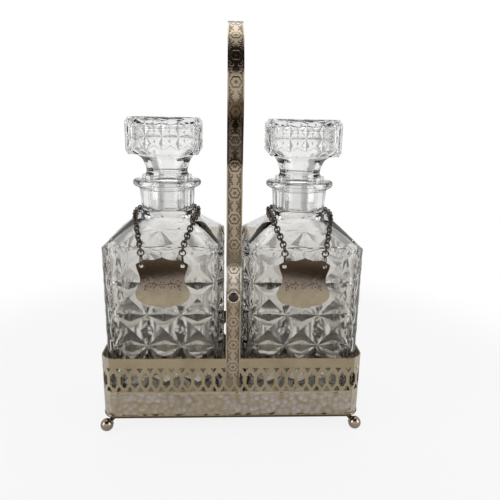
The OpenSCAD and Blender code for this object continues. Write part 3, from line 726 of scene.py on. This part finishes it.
def even_line(points, count):
    """Evenly spaced places on a line: point, way outwards, distance from the start and whole length."""
    runs = [0]
    for a, b in zip(points, points[1:]):
        runs.append(runs[-1] + (b - a).length)
    places, k = [], 0
    for j in range(count + 1):
        run = runs[-1] * j / count
        while k < len(points) - 2 and runs[k + 1] < run:
            k += 1
        share = (run - runs[k]) / (runs[k + 1] - runs[k])
        along = (points[k + 1] - points[k]).normalized()
        places.append((points[k].lerp(points[k + 1], share), Vector((along.y, -along.x)), run, runs[-1]))
    return places


def make_strap(name, places, round_start, round_end, phase, turned, metal, body, slot, *nodes):
    """A strap bent along a line in the YZ plane. Its net runs round the strap: face, edge, back, edge."""
    bm = bmesh.new()
    rows = len(places) - 1
    edge, back = ACROSS + EDGE_COLS, ACROSS + EDGE_COLS + BACK_COLS
    cols = back + EDGE_COLS
    bmesh.ops.create_grid(bm, x_segments=cols, y_segments=rows, size=1)
    # Darkness of the hollows beside raised lines and rails: tarnish with painted shade
    hollow = bm.verts.layers.float.new("hollow")
    for v in bm.verts:
        col, row = round((v.co.x + 1) / 2 * cols), round((v.co.y + 1) / 2 * rows)
        centre, outward, run, total = places[row]
        if col <= ACROSS:
            across, lift = 2 * col / ACROSS - 1, 1
        elif col <= edge:
            across, lift = 1, (EDGE_LIFT, -1)[col - ACROSS - 1]
        elif col <= back:
            across, lift = 1 - (col - edge) / 2, -1
        else:
            across, lift = -1, (EDGE_LIFT, 1)[col - back - 1]
        end = min(run if round_start else 1, total - run if round_end else 1, STRAP_HALF)
        half = STRAP_HALF
        if end < STRAP_HALF:
            half = math.sqrt(max(0, STRAP_HALF ** 2 - (STRAP_HALF - end) ** 2))
        height = 1
        if lift == 1:
            height, v[hollow] = relief_at(across * STRAP_HALF / MM, (run - phase) / MM)
            height = 1 - (1 - height) * RELIEF / STRAP_T * 2
            if abs(across) > RIM_SHARE:
                height = RIM_HEIGHT
        y, z = centre + outward * STRAP_T / 2 * (lift if lift < 1 else height)
        v.co = (across * half, y, z)
    bmesh.ops.remove_doubles(bm, verts=bm.verts, dist=2e-6)
    holes = [e for e in bm.edges if e.is_boundary]
    if holes:
        bmesh.ops.holes_fill(bm, edges=holes, sides=0)
    if turned:
        bmesh.ops.rotate(bm, verts=bm.verts, cent=(0, 0, 0), matrix=Matrix.Rotation(math.pi, 3, "Z"))
    bmesh.ops.recalc_face_normals(bm, faces=bm.faces)
    for face in bm.faces:
        face.smooth = True
    piece = add_mesh(name, bm, STRAP_CREASE)
    finish_piece(piece, metal, body, slot, *nodes)


def make_straps(metal, handle_metal):
    count = round(HANDLE_LENGTH / FINE)
    make_strap("swing_strap", handle_line(count), True, True, HANDLE_PHASE, True, handle_metal,
               "handle", "strap_metal", "swing_handle")
    length = PIVOT_Z + STRAP_HALF - UPRIGHT_Z
    line = [Vector((UPRIGHT_MID, UPRIGHT_Z)), Vector((UPRIGHT_MID, UPRIGHT_Z + length))]
    for place, turned in (("front", True), ("back", False)):
        make_strap("strap_" + place, even_line(line, round(length / FINE)), False, True, UPRIGHT_PHASE,
                   turned, metal, "tray", "strap_metal", "upright_" + place)


# Labels
LABEL_HOLE_Z = 135.6 * MM
LABEL_BACK = 46 * MM
LABEL_W = 39.8
LABEL_H = 40
LABEL_T = 0.6 * MM
LABEL_BOW = 1.0 * MM
HOLE_X = 14.9
HOLE_R = 1.5
LABEL_NET = 1.6
LABEL_CUTS = 20
LABEL_CREASE = math.radians(20)
LABEL_EDGE = 0.1 * MM
# Right half of the outline, as shares of half the width and of the height, from the top down
HALF_SHIELD = [
    (0, 0.178), (0.09, 0.148), (0.36, 0.113), (0.66, 0.118), (0.95, 0.03), (0.92, -0.05), (0.83, -0.18),
    (0.81, -0.26), (0.85, -0.36), (0.95, -0.45), (1, -0.54), (0.96, -0.62), (0.84, -0.69), (0.6, -0.745),
    (0.3, -0.775), (0.08, -0.795), (0, -0.822),
]
SHARP_POINTS = (0, 3, 4, 16)


def curve_through(points, sharp, steps=5):
    """A smooth line through points, which keeps its corners at the sharp ones."""
    line = []
    for k in range(len(points) - 1):
        b, c = Vector(points[k]), Vector(points[k + 1])
        before = (c - b) if k in sharp else (c - Vector(points[k - 1])) / 2
        after = (c - b) if k + 1 in sharp else (Vector(points[k + 2]) - b) / 2
        for j in range(steps):
            t = j / steps
            line.append(b * (2 * t ** 3 - 3 * t ** 2 + 1) + before * (t ** 3 - 2 * t ** 2 + t)
                        + c * (3 * t ** 2 - 2 * t ** 3) + after * (t ** 3 - t ** 2))
    return line + [Vector(points[-1])]


def make_label(side, metal):
    right = curve_through([(x * LABEL_W / 2, z * LABEL_H) for x, z in HALF_SHIELD], SHARP_POINTS)
    outline = right + [Vector((-p.x, p.y)) for p in reversed(right[1:-1])]
    bm = bmesh.new()
    verts = [bm.verts.new((p.x * MM, 0, p.y * MM)) for p in outline]
    edges = [bm.edges.new((a, b)) for a, b in zip(verts, verts[1:] + verts[:1])]
    for x in (-HOLE_X, HOLE_X):
        hole = bmesh.ops.create_circle(bm, segments=24, radius=HOLE_R * MM)["verts"]
        bmesh.ops.rotate(bm, verts=hole, cent=(0, 0, 0), matrix=Matrix.Rotation(math.pi / 2, 3, "X"))
        bmesh.ops.translate(bm, verts=hole, vec=(x * MM, 0, 0))
        edges += edges_at(hole)
    bmesh.ops.triangle_fill(bm, edges=edges, use_beauty=True, use_dissolve=False)
    for way in ((1, 0, 0), (0, 0, 1)):
        for k in range(-LABEL_CUTS, LABEL_CUTS + 1):
            geom = list(bm.verts) + list(bm.edges) + list(bm.faces)
            cut = Vector(way) * k * LABEL_NET * MM
            bmesh.ops.bisect_plane(bm, geom=geom, dist=SAME_PLACE, plane_co=cut, plane_no=way)
    for v in bm.verts:
        v.co.y = -LABEL_BACK - LABEL_BOW * (1 - (v.co.x / (LABEL_W / 2 * MM)) ** 2)
    bmesh.ops.recalc_face_normals(bm, faces=bm.faces)
    if sum(f.normal.y for f in bm.faces) > 0:
        bmesh.ops.reverse_faces(bm, faces=bm.faces)
    bmesh.ops.solidify(bm, geom=bm.faces, thickness=-LABEL_T)
    bmesh.ops.recalc_face_normals(bm, faces=bm.faces)
    rim = [e for e in bm.edges if e.calc_face_angle(0) > 1]
    bmesh.ops.bevel(bm, geom=rim, affect="EDGES", offset=LABEL_EDGE, segments=1, profile=0.5, material=-1)
    for face in bm.faces:
        face.smooth = True
    bmesh.ops.translate(bm, verts=bm.verts, vec=(SIDES[side] * DECANTER_X, 0, LABEL_HOLE_Z))
    piece = add_mesh("shield_" + side, bm, LABEL_CREASE)
    finish_piece(piece, metal, side + "_label", "label_metal", "label_" + side)


# Chains, in millimetres until their links are placed
HANG_Y = 46.74
RING_Z = 145.17
RING_MID_R = 2.3
HANG_LOW_Z = 137.52
HANG_HIGH_Z = 142.82
WIRE_R = 0.6
LINK_MID_R = 2.05
LINK_GAP = 0.12
FIRST_LINK = 1.406
NECK_HUG = 24.0
HALF_LINKS = 24
LINK_SIDES = 8
LINK_STEPS = 20
WIRE_CREASE = math.radians(60)
LINK_ROLL = 45
FIRST_ROLL = 30
RING_STRETCH = 0.5
RING_PINCH = 0.62
HANGER_WIRE_R = 0.45
HANGER_MID_R = 1.05
HANGER_SHORTER = 0.2
HANGER_ROLL = 62
PATH_STEPS = 12
BODY_HALF = 45
CHAIN_LIFT = 3.3


def shoulder_line(y):
    """Height of a chain that lies on the shoulder, at a distance in front of the neck axis."""
    return SHOULDER_Z / MM + (BODY_HALF - y) * SHOULDER_SLOPE + CHAIN_LIFT


def round_neck(angle, z):
    """A place on the neck, at an angle behind its right side."""
    return (NECK_HUG * math.cos(math.radians(angle)), NECK_HUG * math.sin(math.radians(angle)), z)


# Right half of the chain's route: end ring, shoulder, then round the neck
CHAIN_PATH = [
    (HOLE_X, -HANG_Y, RING_Z + 2.25),
    (HOLE_X + 0.8, -45.6, shoulder_line(45) + 0.2),
    (HOLE_X + 4, -35, shoulder_line(35) + 0.5),
    (HOLE_X + 7.2, -23, shoulder_line(24) - 1.3),
    (NECK_HUG + 0.2, -6, 167.8),
    round_neck(25, 168.8),
    round_neck(60, 169.1),
    (0, NECK_HUG, 169.2),
]


def chain_places():
    """Places along one half of a chain, from its end ring to the back of the neck, and the links' pitch."""
    points = [Vector(p) for p in CHAIN_PATH]
    points = [2 * points[0] - points[1]] + points + [Vector((-points[-2].x, points[-2].y, points[-2].z))]
    line = []
    for k in range(1, len(points) - 2):
        a, b, c, d = points[k - 1:k + 3]
        for j in range(PATH_STEPS):
            t = j / PATH_STEPS
            line.append(0.5 * (2 * b + (c - a) * t + (2 * a - 5 * b + 4 * c - d) * t * t
                               + (3 * b - a - 3 * c + d) * t ** 3))
    line.append(points[-2])
    runs = [0]
    for a, b in zip(line, line[1:]):
        runs.append(runs[-1] + (b - a).length)

    def at(run):
        k = 0
        while k < len(line) - 2 and runs[k + 1] < run:
            k += 1
        return line[k].lerp(line[k + 1], (run - runs[k]) / (runs[k + 1] - runs[k]))

    step = (runs[-1] - FIRST_LINK) / HALF_LINKS
    places = []
    for k in range(HALF_LINKS):
        run = FIRST_LINK + k * step
        way = at(min(run + step / 2, runs[-1])) - at(max(run - step / 2, 0))
        roll = FIRST_ROLL if k == 0 else (-LINK_ROLL if k % 2 else LINK_ROLL)
        places.append((at(run), way.normalized(), roll))
    return places, step


def link_mesh(straight, wire, mid_r, pinch=0):
    """A link of round wire in the XZ plane, with straight sides, and pinched towards its lower end."""
    bm = bmesh.new()
    ring = bmesh.ops.create_circle(bm, segments=LINK_SIDES, radius=wire)["verts"]
    bmesh.ops.translate(bm, verts=ring, vec=(mid_r, 0, 0))
    bmesh.ops.spin(bm, geom=ring + edges_at(ring), cent=(0, 0, 0), axis=(0, 1, 0), angle=2 * math.pi,
                   steps=LINK_STEPS, use_merge=True)
    for v in bm.verts:
        v.co.x *= 1 - pinch * max(0, -v.co.z / mid_r) ** 1.5
        v.co.z += math.copysign(straight / 2, v.co.z) if abs(v.co.z) > 1e-4 else 0
    bmesh.ops.recalc_face_normals(bm, faces=bm.faces)
    for face in bm.faces:
        face.smooth = True
    mesh = bpy.data.meshes.new("link")
    bm.to_mesh(mesh)
    bm.free()
    return mesh


def add_links(bm, link, turns):
    """Adds a copy of a link for each matrix, with its faces turned back where the matrix mirrors it."""
    for turn in turns:
        before = len(bm.verts), len(bm.faces)
        bm.from_mesh(link)
        bm.verts.ensure_lookup_table()
        bm.faces.ensure_lookup_table()
        bmesh.ops.transform(bm, matrix=turn, verts=bm.verts[before[0]:])
        if turn.determinant() < 0:
            bmesh.ops.reverse_faces(bm, faces=bm.faces[before[1]:])


def make_chain(side, metal):
    places, step = chain_places()
    straight = step + 2 * WIRE_R + LINK_GAP - 2 * LINK_MID_R
    link = link_mesh(straight, WIRE_R, LINK_MID_R)
    end_ring = link_mesh(RING_STRETCH, WIRE_R, RING_MID_R, RING_PINCH)
    hanger = link_mesh(HANG_HIGH_Z - HANG_LOW_Z - HANGER_SHORTER, HANGER_WIRE_R, HANGER_MID_R)
    centre = Matrix.Translation((SIDES[side] * DECANTER_X / MM, 0, 0))
    scale = Matrix.Scale(MM, 4)
    mirror = Matrix.Scale(-1, 4, (1, 0, 0))
    turns = []
    for spot, way, roll in places:
        turn = way.to_track_quat("Z", "X").to_matrix().to_4x4()
        turns.append(Matrix.Translation(spot) @ turn @ Matrix.Rotation(math.radians(roll), 4, "Z"))
    turns += [mirror @ turn for turn in turns]
    back = Matrix.Translation(CHAIN_PATH[-1]) @ Matrix.Rotation(math.pi / 2, 4, "Y")
    turns.append(back @ Matrix.Rotation(math.radians(-LINK_ROLL), 4, "Z"))
    bm = bmesh.new()
    add_links(bm, link, [scale @ centre @ turn for turn in turns])
    ends = [Matrix.Translation((x, -HANG_Y, RING_Z)) for x in (-HOLE_X, HOLE_X)]
    add_links(bm, end_ring, [scale @ centre @ end for end in ends])
    piece = add_mesh("chain_" + side, bm, WIRE_CREASE)
    finish_piece(piece, metal, side + "_decanter", "chain_metal", "label_chain_" + side)
    bm = bmesh.new()
    middle = (HANG_HIGH_Z + HANG_LOW_Z) / 2
    for x, roll in ((-HOLE_X, HANGER_ROLL), (HOLE_X, -HANGER_ROLL)):
        turn = Matrix.Translation((x, -HANG_Y, middle)) @ Matrix.Rotation(math.radians(roll), 4, "Z")
        add_links(bm, hanger, [scale @ centre @ turn])
    piece = add_mesh("hanger_" + side, bm, WIRE_CREASE)
    finish_piece(piece, metal, side + "_label", "chain_metal", "label_link_" + side)
    for mesh in (link, end_ring, hanger):
        bpy.data.meshes.remove(mesh)


# Ball feet
BALL_R = 5 * MM
BALL_Z = 4.7 * MM
COLLAR_R = 2.3 * MM
COLLAR_WIRE_R = 0.5 * MM
COLLAR_Z = 4.25 * MM
BALL_CREASE = math.radians(40)
PEG_RUN = 7.8
PEG_RISE = 4.7


def make_foot(place, metal):
    """A ball with a flat under it, and a thin collar round the peg that leans in from it."""
    node = "foot_ball_" + place
    low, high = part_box(node)
    centre = Vector(((low[0] + high[0]) / 2, (low[1] + high[1]) / 2, BALL_Z))
    bm = bmesh.new()
    bmesh.ops.create_uvsphere(bm, u_segments=40, v_segments=26, radius=BALL_R)
    for v in bm.verts:
        v.co.z = max(v.co.z, -BALL_Z)
    bmesh.ops.remove_doubles(bm, verts=bm.verts, dist=SAME_PLACE)
    inward = Vector((-centre.x, -centre.y, 0)).normalized()
    rise = Vector((inward.x * PEG_RUN, inward.y * PEG_RUN, PEG_RISE)).normalized()
    ring = bmesh.ops.create_circle(bm, segments=10, radius=COLLAR_WIRE_R)["verts"]
    bmesh.ops.rotate(bm, verts=ring, cent=(0, 0, 0), matrix=Matrix.Rotation(math.pi / 2, 3, "X"))
    bmesh.ops.translate(bm, verts=ring, vec=(COLLAR_R, 0, COLLAR_Z))
    bmesh.ops.spin(bm, geom=ring + edges_at(ring), cent=(0, 0, 0), axis=(0, 0, 1), angle=2 * math.pi,
                   steps=28, use_merge=True)
    collar = [v for v in bm.verts if math.hypot(v.co.x, v.co.y) > COLLAR_R - 0.6 * MM
              and abs((v.co - Vector((0, 0, COLLAR_Z))).length - COLLAR_R) < 0.8 * MM
              and abs(v.co.length - BALL_R) > 1e-5 and v.co.z > 0]
    bmesh.ops.rotate(bm, verts=collar, cent=(0, 0, 0),
                     matrix=Vector((0, 0, 1)).rotation_difference(rise).to_matrix())
    bmesh.ops.translate(bm, verts=bm.verts, vec=centre)
    bmesh.ops.recalc_face_normals(bm, faces=bm.faces)
    for face in bm.faces:
        face.smooth = True
    piece = add_mesh("ball_" + place, bm, BALL_CREASE)
    finish_piece(piece, metal, "tray", "ball_metal", node)


# Finishes
WARM_SILVER = rgb(0.42, 0.345, 0.25)
DULL_SILVER = rgb(0.27, 0.21, 0.14)
# Tarnish, also used for the painted shade in the strap's hollows and the painted shadow line at the wall's
# lip
TARNISH_AND_PAINTED_SHADE = rgb(0.045, 0.03, 0.024)
CLEAR = rgb(0.992, 0.99, 0.992)
BODY_FOOT_TINT = rgb(0.66, 0.635, 0.575)
BODY_WALL_TINT = rgb(0.825, 0.81, 0.785)
BODY_NECK_TINT = rgb(0.985, 0.985, 0.98)
BODY_SOFT_INSIDE = 0.12
SEAL_CLEAR = rgb(0.98, 0.98, 0.98)
WALL_CLEAN = rgb(0.41, 0.335, 0.225)
WALL_WORN = rgb(0.27, 0.205, 0.125)
BALL_CLEAN = rgb(0.37, 0.31, 0.245)
BALL_WORN = rgb(0.24, 0.19, 0.145)
WASHER_CLEAN = rgb(0.72, 0.66, 0.56)
WASHER_WORN = rgb(0.50, 0.44, 0.36)
# Dark brass of the rivets, also used as painted shade on the foot brackets
DARK_RIVET_AND_SHADE_CLEAN = rgb(0.07, 0.055, 0.05)
DARK_RIVET_AND_SHADE_WORN = rgb(0.03, 0.023, 0.02)
CHAIN_CLEAN = rgb(0.105, 0.08, 0.066)
CHAIN_WORN = rgb(0.015, 0.011, 0.009)
# Painted highlight on the handle's step just above the pivot
HANDLE_PAINTED_HIGHLIGHT = rgb(0.85, 0.78, 0.66)
# Painted dark reflection: a brown band high on the handle's arms
HANDLE_PAINTED_DARK_REFLECTION = rgb(0.075, 0.045, 0.022)
# Painted highlights in the middles of the wall's hammered dishes
DISH_PAINTED_HIGHLIGHT = rgb(0.50, 0.46, 0.46)
# Painted shade along the edges of the wall's hammered dishes
DISH_EDGE_PAINTED_SHADE = rgb(0.22, 0.17, 0.11)
# Painted light on the inside of the tray
TRAY_INSIDE_PAINTED_LIGHT = rgb(0.62, 0.57, 0.48)
# Painted dark reflection on the upper part of the labels
LABEL_UPPER_PAINTED_REFLECTION = rgb(0.34, 0.28, 0.235)
LABEL_LOWER = rgb(0.46, 0.39, 0.27)
LABEL_CLOUD = rgb(0.25, 0.19, 0.13)
LABEL_CUT = rgb(0.10, 0.065, 0.05)
# Places on the glass, in metres: from where to where it changes
CAVITY_REACH = (0.0402, 0.0410)
CAVITY_SPAN = (0.020, 0.0205, 0.1440, 0.1455)
TINT_RISE = (0.05, 0.125)
CLEAR_BELOW = (0.047, 0.057)
CLEAR_ABOVE = (0.125, 0.172)
# Places on the metal: the step of the handle with its painted highlight, the band of the handle with its
# painted dark reflection, and the band of the wall and its lip with a painted shadow line
HANDLE_HIGHLIGHT_SPAN = (0.117, 0.122, 0.134, 0.140)
HANDLE_DARK_REFLECTION_SPAN = (0.229, 0.237, 0.249, 0.255)
BAND_SPAN = (0.0135, 0.0155, 0.0325, 0.0345)
INSIDE_X = (0.0996, 0.0999)
INSIDE_Y = (0.0479, 0.0482)
INSIDE_Z = (0.0124, 0.0127)
LIP_TOP = (0.0128, 0.0136)
DISHES = 235


def make_glass(name, foot, wall, neck, soft_inside):
    """Clear wavy glass, greyer and warmer in a low band, and a little dull on its inner walls."""
    glass = Finish(name)
    place = glass.place()
    x, y, z = glass.split(place)
    reach = (x.size() - DECANTER_X).size().larger(y.size())
    inner = reach.fall(*CAVITY_REACH) * z.between(*CAVITY_SPAN)
    tint = glass.blend(z.step(*TINT_RISE), foot, wall)
    tint = glass.blend(z.fall(*CLEAR_BELOW).larger(z.step(*CLEAR_ABOVE)), tint, neck)
    normal = glass.bump(glass.noise(place, 90, detail=2, roughness=0.4), distance=0.0006, strength=0.12)
    return glass.surface(Base_Color=tint, Roughness=inner * soft_inside, IOR=1.5, Transmission_Weight=1.0,
                         Normal=normal)


def make_seal_plastic():
    plastic = Finish("seal_plastic")
    mottle = plastic.noise(plastic.place(), 900, detail=2)
    return plastic.surface(Base_Color=SEAL_CLEAR, Roughness=mottle * 0.06 + 0.01, IOR=1.42,
                           Transmission_Weight=1.0)


def make_plate(name, clean, worn, rough, wear_size=40, hammered=False, hollow=False, painted_handle_bands=False):
    """Silver plate over brass: warm, cloudy, finely scratched, with tarnish and painted shade in the strap's
    hollows, a painted highlight and a painted dark reflection on the handle, and painted highlights, painted
    shade, painted light and a painted shadow line on the wall.
    """
    plate = Finish(name)
    place = plate.place()
    x, y, z = plate.split(place)
    cloud = plate.noise(place, wear_size, detail=5, roughness=0.6).step(0.35, 0.7)
    scratch = plate.noise(plate.stretched(place, (1, 1, 0.12)), 2600, detail=2, roughness=0.6)
    fleck = plate.noise(place, 700, detail=3, roughness=0.7).step(0.55, 0.8)
    color = plate.blend(cloud * 0.5 + fleck * 0.35, clean, worn)
    roughness = rough + cloud * 0.07 + scratch * 0.05
    normal = plate.bump(scratch, distance=0.00002, strength=0.4)
    if painted_handle_bands:
        # Painted highlight: the handle's step above the pivot is made bright
        color = plate.blend(z.between(*HANDLE_HIGHLIGHT_SPAN) * 0.75, color, HANDLE_PAINTED_HIGHLIGHT)
        # Painted dark reflection: a brown band high on the handle's arms
        color = plate.blend(z.between(*HANDLE_DARK_REFLECTION_SPAN) * (0.65 + cloud * 0.35), color, HANDLE_PAINTED_DARK_REFLECTION)
    if hollow:
        # Tarnish with painted shade: the hollows beside the strap's raised lines are darkened
        dark = plate.node("Attribute", {"attribute_name": "hollow"}, output="Fac")
        color = plate.blend(dark.step(0, 0.6), color, TARNISH_AND_PAINTED_SHADE)
        roughness = roughness + dark * 0.3
    if hammered:
        band = z.between(*BAND_SPAN)
        dish = plate.cells(place, DISHES, "SMOOTH_F1")
        gap = plate.cells(place, DISHES, "DISTANCE_TO_EDGE")
        normal = plate.bump(dish.power(2) * band, distance=0.0022, under=normal)
        # Painted highlights: the middle of each dish is made pale, in patches
        sheen_patches = plate.noise(place, 22, detail=2).step(0.4, 0.6)
        pale = band * dish.fall(0.15, 0.75) * (0.3 + sheen_patches * 0.5)
        color = plate.blend(pale, color, DISH_PAINTED_HIGHLIGHT)
        # Painted shade: the edges of the dishes are darkened
        color = plate.blend(band * gap.fall(0, 0.09) * 0.3, color, DISH_EDGE_PAINTED_SHADE)
        # Painted light: the inside of the tray is made brighter
        inner = x.size().fall(*INSIDE_X) * y.size().fall(*INSIDE_Y) * z.step(*INSIDE_Z)
        color = plate.blend(inner * 0.6, color, TRAY_INSIDE_PAINTED_LIGHT)
        # Painted shadow line along the bottom edge of the wall
        lip = z.fall(*LIP_TOP) * (1 - inner)
        color = plate.blend(lip * 0.8, color, TARNISH_AND_PAINTED_SHADE)
    return plate.surface(Base_Color=color, Metallic=1.0, Roughness=roughness, Normal=normal)


# Garland on the labels, in millimetres from the middle of its flower
GARLAND_DROP = 14.5
FLOWER_PETALS = 6
FLOWER_R = 2.1
FLOWER_WAVE = 0.4
FLOWER_EYE_R = 0.7
STEM_START = 3
STEM_TURN = 0.42
STEM_SWAY = 1.6
STEM_SPAN = (2.4, 2.8, 13.2, 13.8)
LEAVES = ((4.6, -1), (7.2, -1), (6.2, 1), (10, 1), (12.2, 1), (11.2, -1))
LEAF_RISE = 1.9
LEAF_SHIFT = 0.8
LEAF_LEAN = 0.5
LEAF_R = 0.75


def engrave_garland(x, z):
    """How deep a garland is cut: a flower between two leafy stems that mirror each other."""
    reach = (x.power(2) + z.power(2)).math("SQRT")
    petal = (z.math("ARCTAN2", x) * FLOWER_PETALS).math("COSINE") * FLOWER_WAVE + FLOWER_R
    cut = (reach - petal).stroke(0.14, 0.5).larger((reach - FLOWER_EYE_R).stroke(0.1, 0.4))
    x = x.size()
    stem = ((x - STEM_START) * STEM_TURN).math("SINE") * STEM_SWAY
    cut = cut.larger((z - stem).stroke(0.12, 0.44) * x.between(*STEM_SPAN))
    for centre, lean in LEAVES:
        rise = math.sin((centre - STEM_START) * STEM_TURN) * STEM_SWAY
        up = (z - rise) * lean - LEAF_RISE
        across = (x - centre) - up * LEAF_LEAN - LEAF_SHIFT
        leaf = (across.power(2) + (up * 0.5).power(2)).math("SQRT")
        cut = cut.larger((leaf - LEAF_R).stroke(0.10, 0.36))
    return cut


def make_label_plate(side):
    """Warm silver, darker in its upper part with a painted dark reflection and yellower in its lower part,
    with an engraved garland.
    """
    plate = Finish("label_silver_" + side)
    place = plate.place()
    x, y, z = plate.split(place)
    x = (x - SIDES[side] * DECANTER_X) * 1000
    z = (z - LABEL_HOLE_Z) * 1000 + GARLAND_DROP
    cut = engrave_garland(x, z)
    cloud = plate.noise(place, 110, detail=5, roughness=0.6).step(0.35, 0.75)
    scratch = plate.noise(plate.stretched(place, (0.3, 1, 1)), 2200, detail=2, roughness=0.6)
    # Painted dark reflection: the upper part of the label is darker
    color = plate.blend(z.fall(-9, 1), LABEL_UPPER_PAINTED_REFLECTION, LABEL_LOWER)
    color = plate.blend(cloud * 0.45, color, LABEL_CLOUD)
    color = plate.blend(cut * 0.9, color, LABEL_CUT)
    normal = plate.bump(scratch, distance=0.00002, strength=0.4)
    normal = plate.bump(1 - cut, distance=0.0003, strength=0.8, under=normal)
    roughness = 0.06 + scratch * 0.03 + cut * 0.3
    return plate.surface(Base_Color=color, Metallic=1.0, Roughness=roughness, Normal=normal)


# The object
def main():
    make_camera()
    make_world()
    make_floor()
    for lamp in LAMPS:
        make_lamp(*lamp)
    bpy.context.scene.view_settings.view_transform = "Standard"
    body_glass = make_glass("body_glass", BODY_FOOT_TINT, BODY_WALL_TINT, BODY_NECK_TINT, BODY_SOFT_INSIDE)
    stopper_glass = make_glass("stopper_glass", CLEAR, CLEAR, CLEAR, 0)
    strap = make_plate("strap_plate", WARM_SILVER, DULL_SILVER, 0.09, hollow=True)
    wall = make_plate("wall_plate", WALL_CLEAN, WALL_WORN, 0.24, hammered=True)
    ball = make_plate("ball_plate", BALL_CLEAN, BALL_WORN, 0.1)
    washer = make_plate("washer_plate", WASHER_CLEAN, WASHER_WORN, 0.16)
    dark = make_plate("rivet_brass_and_bracket_shade", DARK_RIVET_AND_SHADE_CLEAN, DARK_RIVET_AND_SHADE_WORN, 0.22, 200)
    chain = make_plate("chain_brass", CHAIN_CLEAN, CHAIN_WORN, 0.15, 300)
    seal = make_seal_plastic()
    for side in SIDES:
        make_decanter(side, body_glass)
        make_stopper(side, stopper_glass)
        make_label(side, make_label_plate(side))
        dress("stopper_seal_" + side, seal)
        make_chain(side, chain)
    make_straps(strap, make_plate("handle_plate", WARM_SILVER, DULL_SILVER, 0.09, hollow=True, painted_handle_bands=True))
    for place in ("front", "back"):
        dress("pivot_rivet_" + place, dark)
        dress("pivot_washer_" + place, washer)
        for side in SIDES:
            make_foot(place + "_" + side, ball)
            # Painted shade: the foot brackets are made near black
            dress("foot_bracket_" + place + "_" + side, dark)
    dress("gallery_wall", wall)
    dress("base_plate", wall)


main()
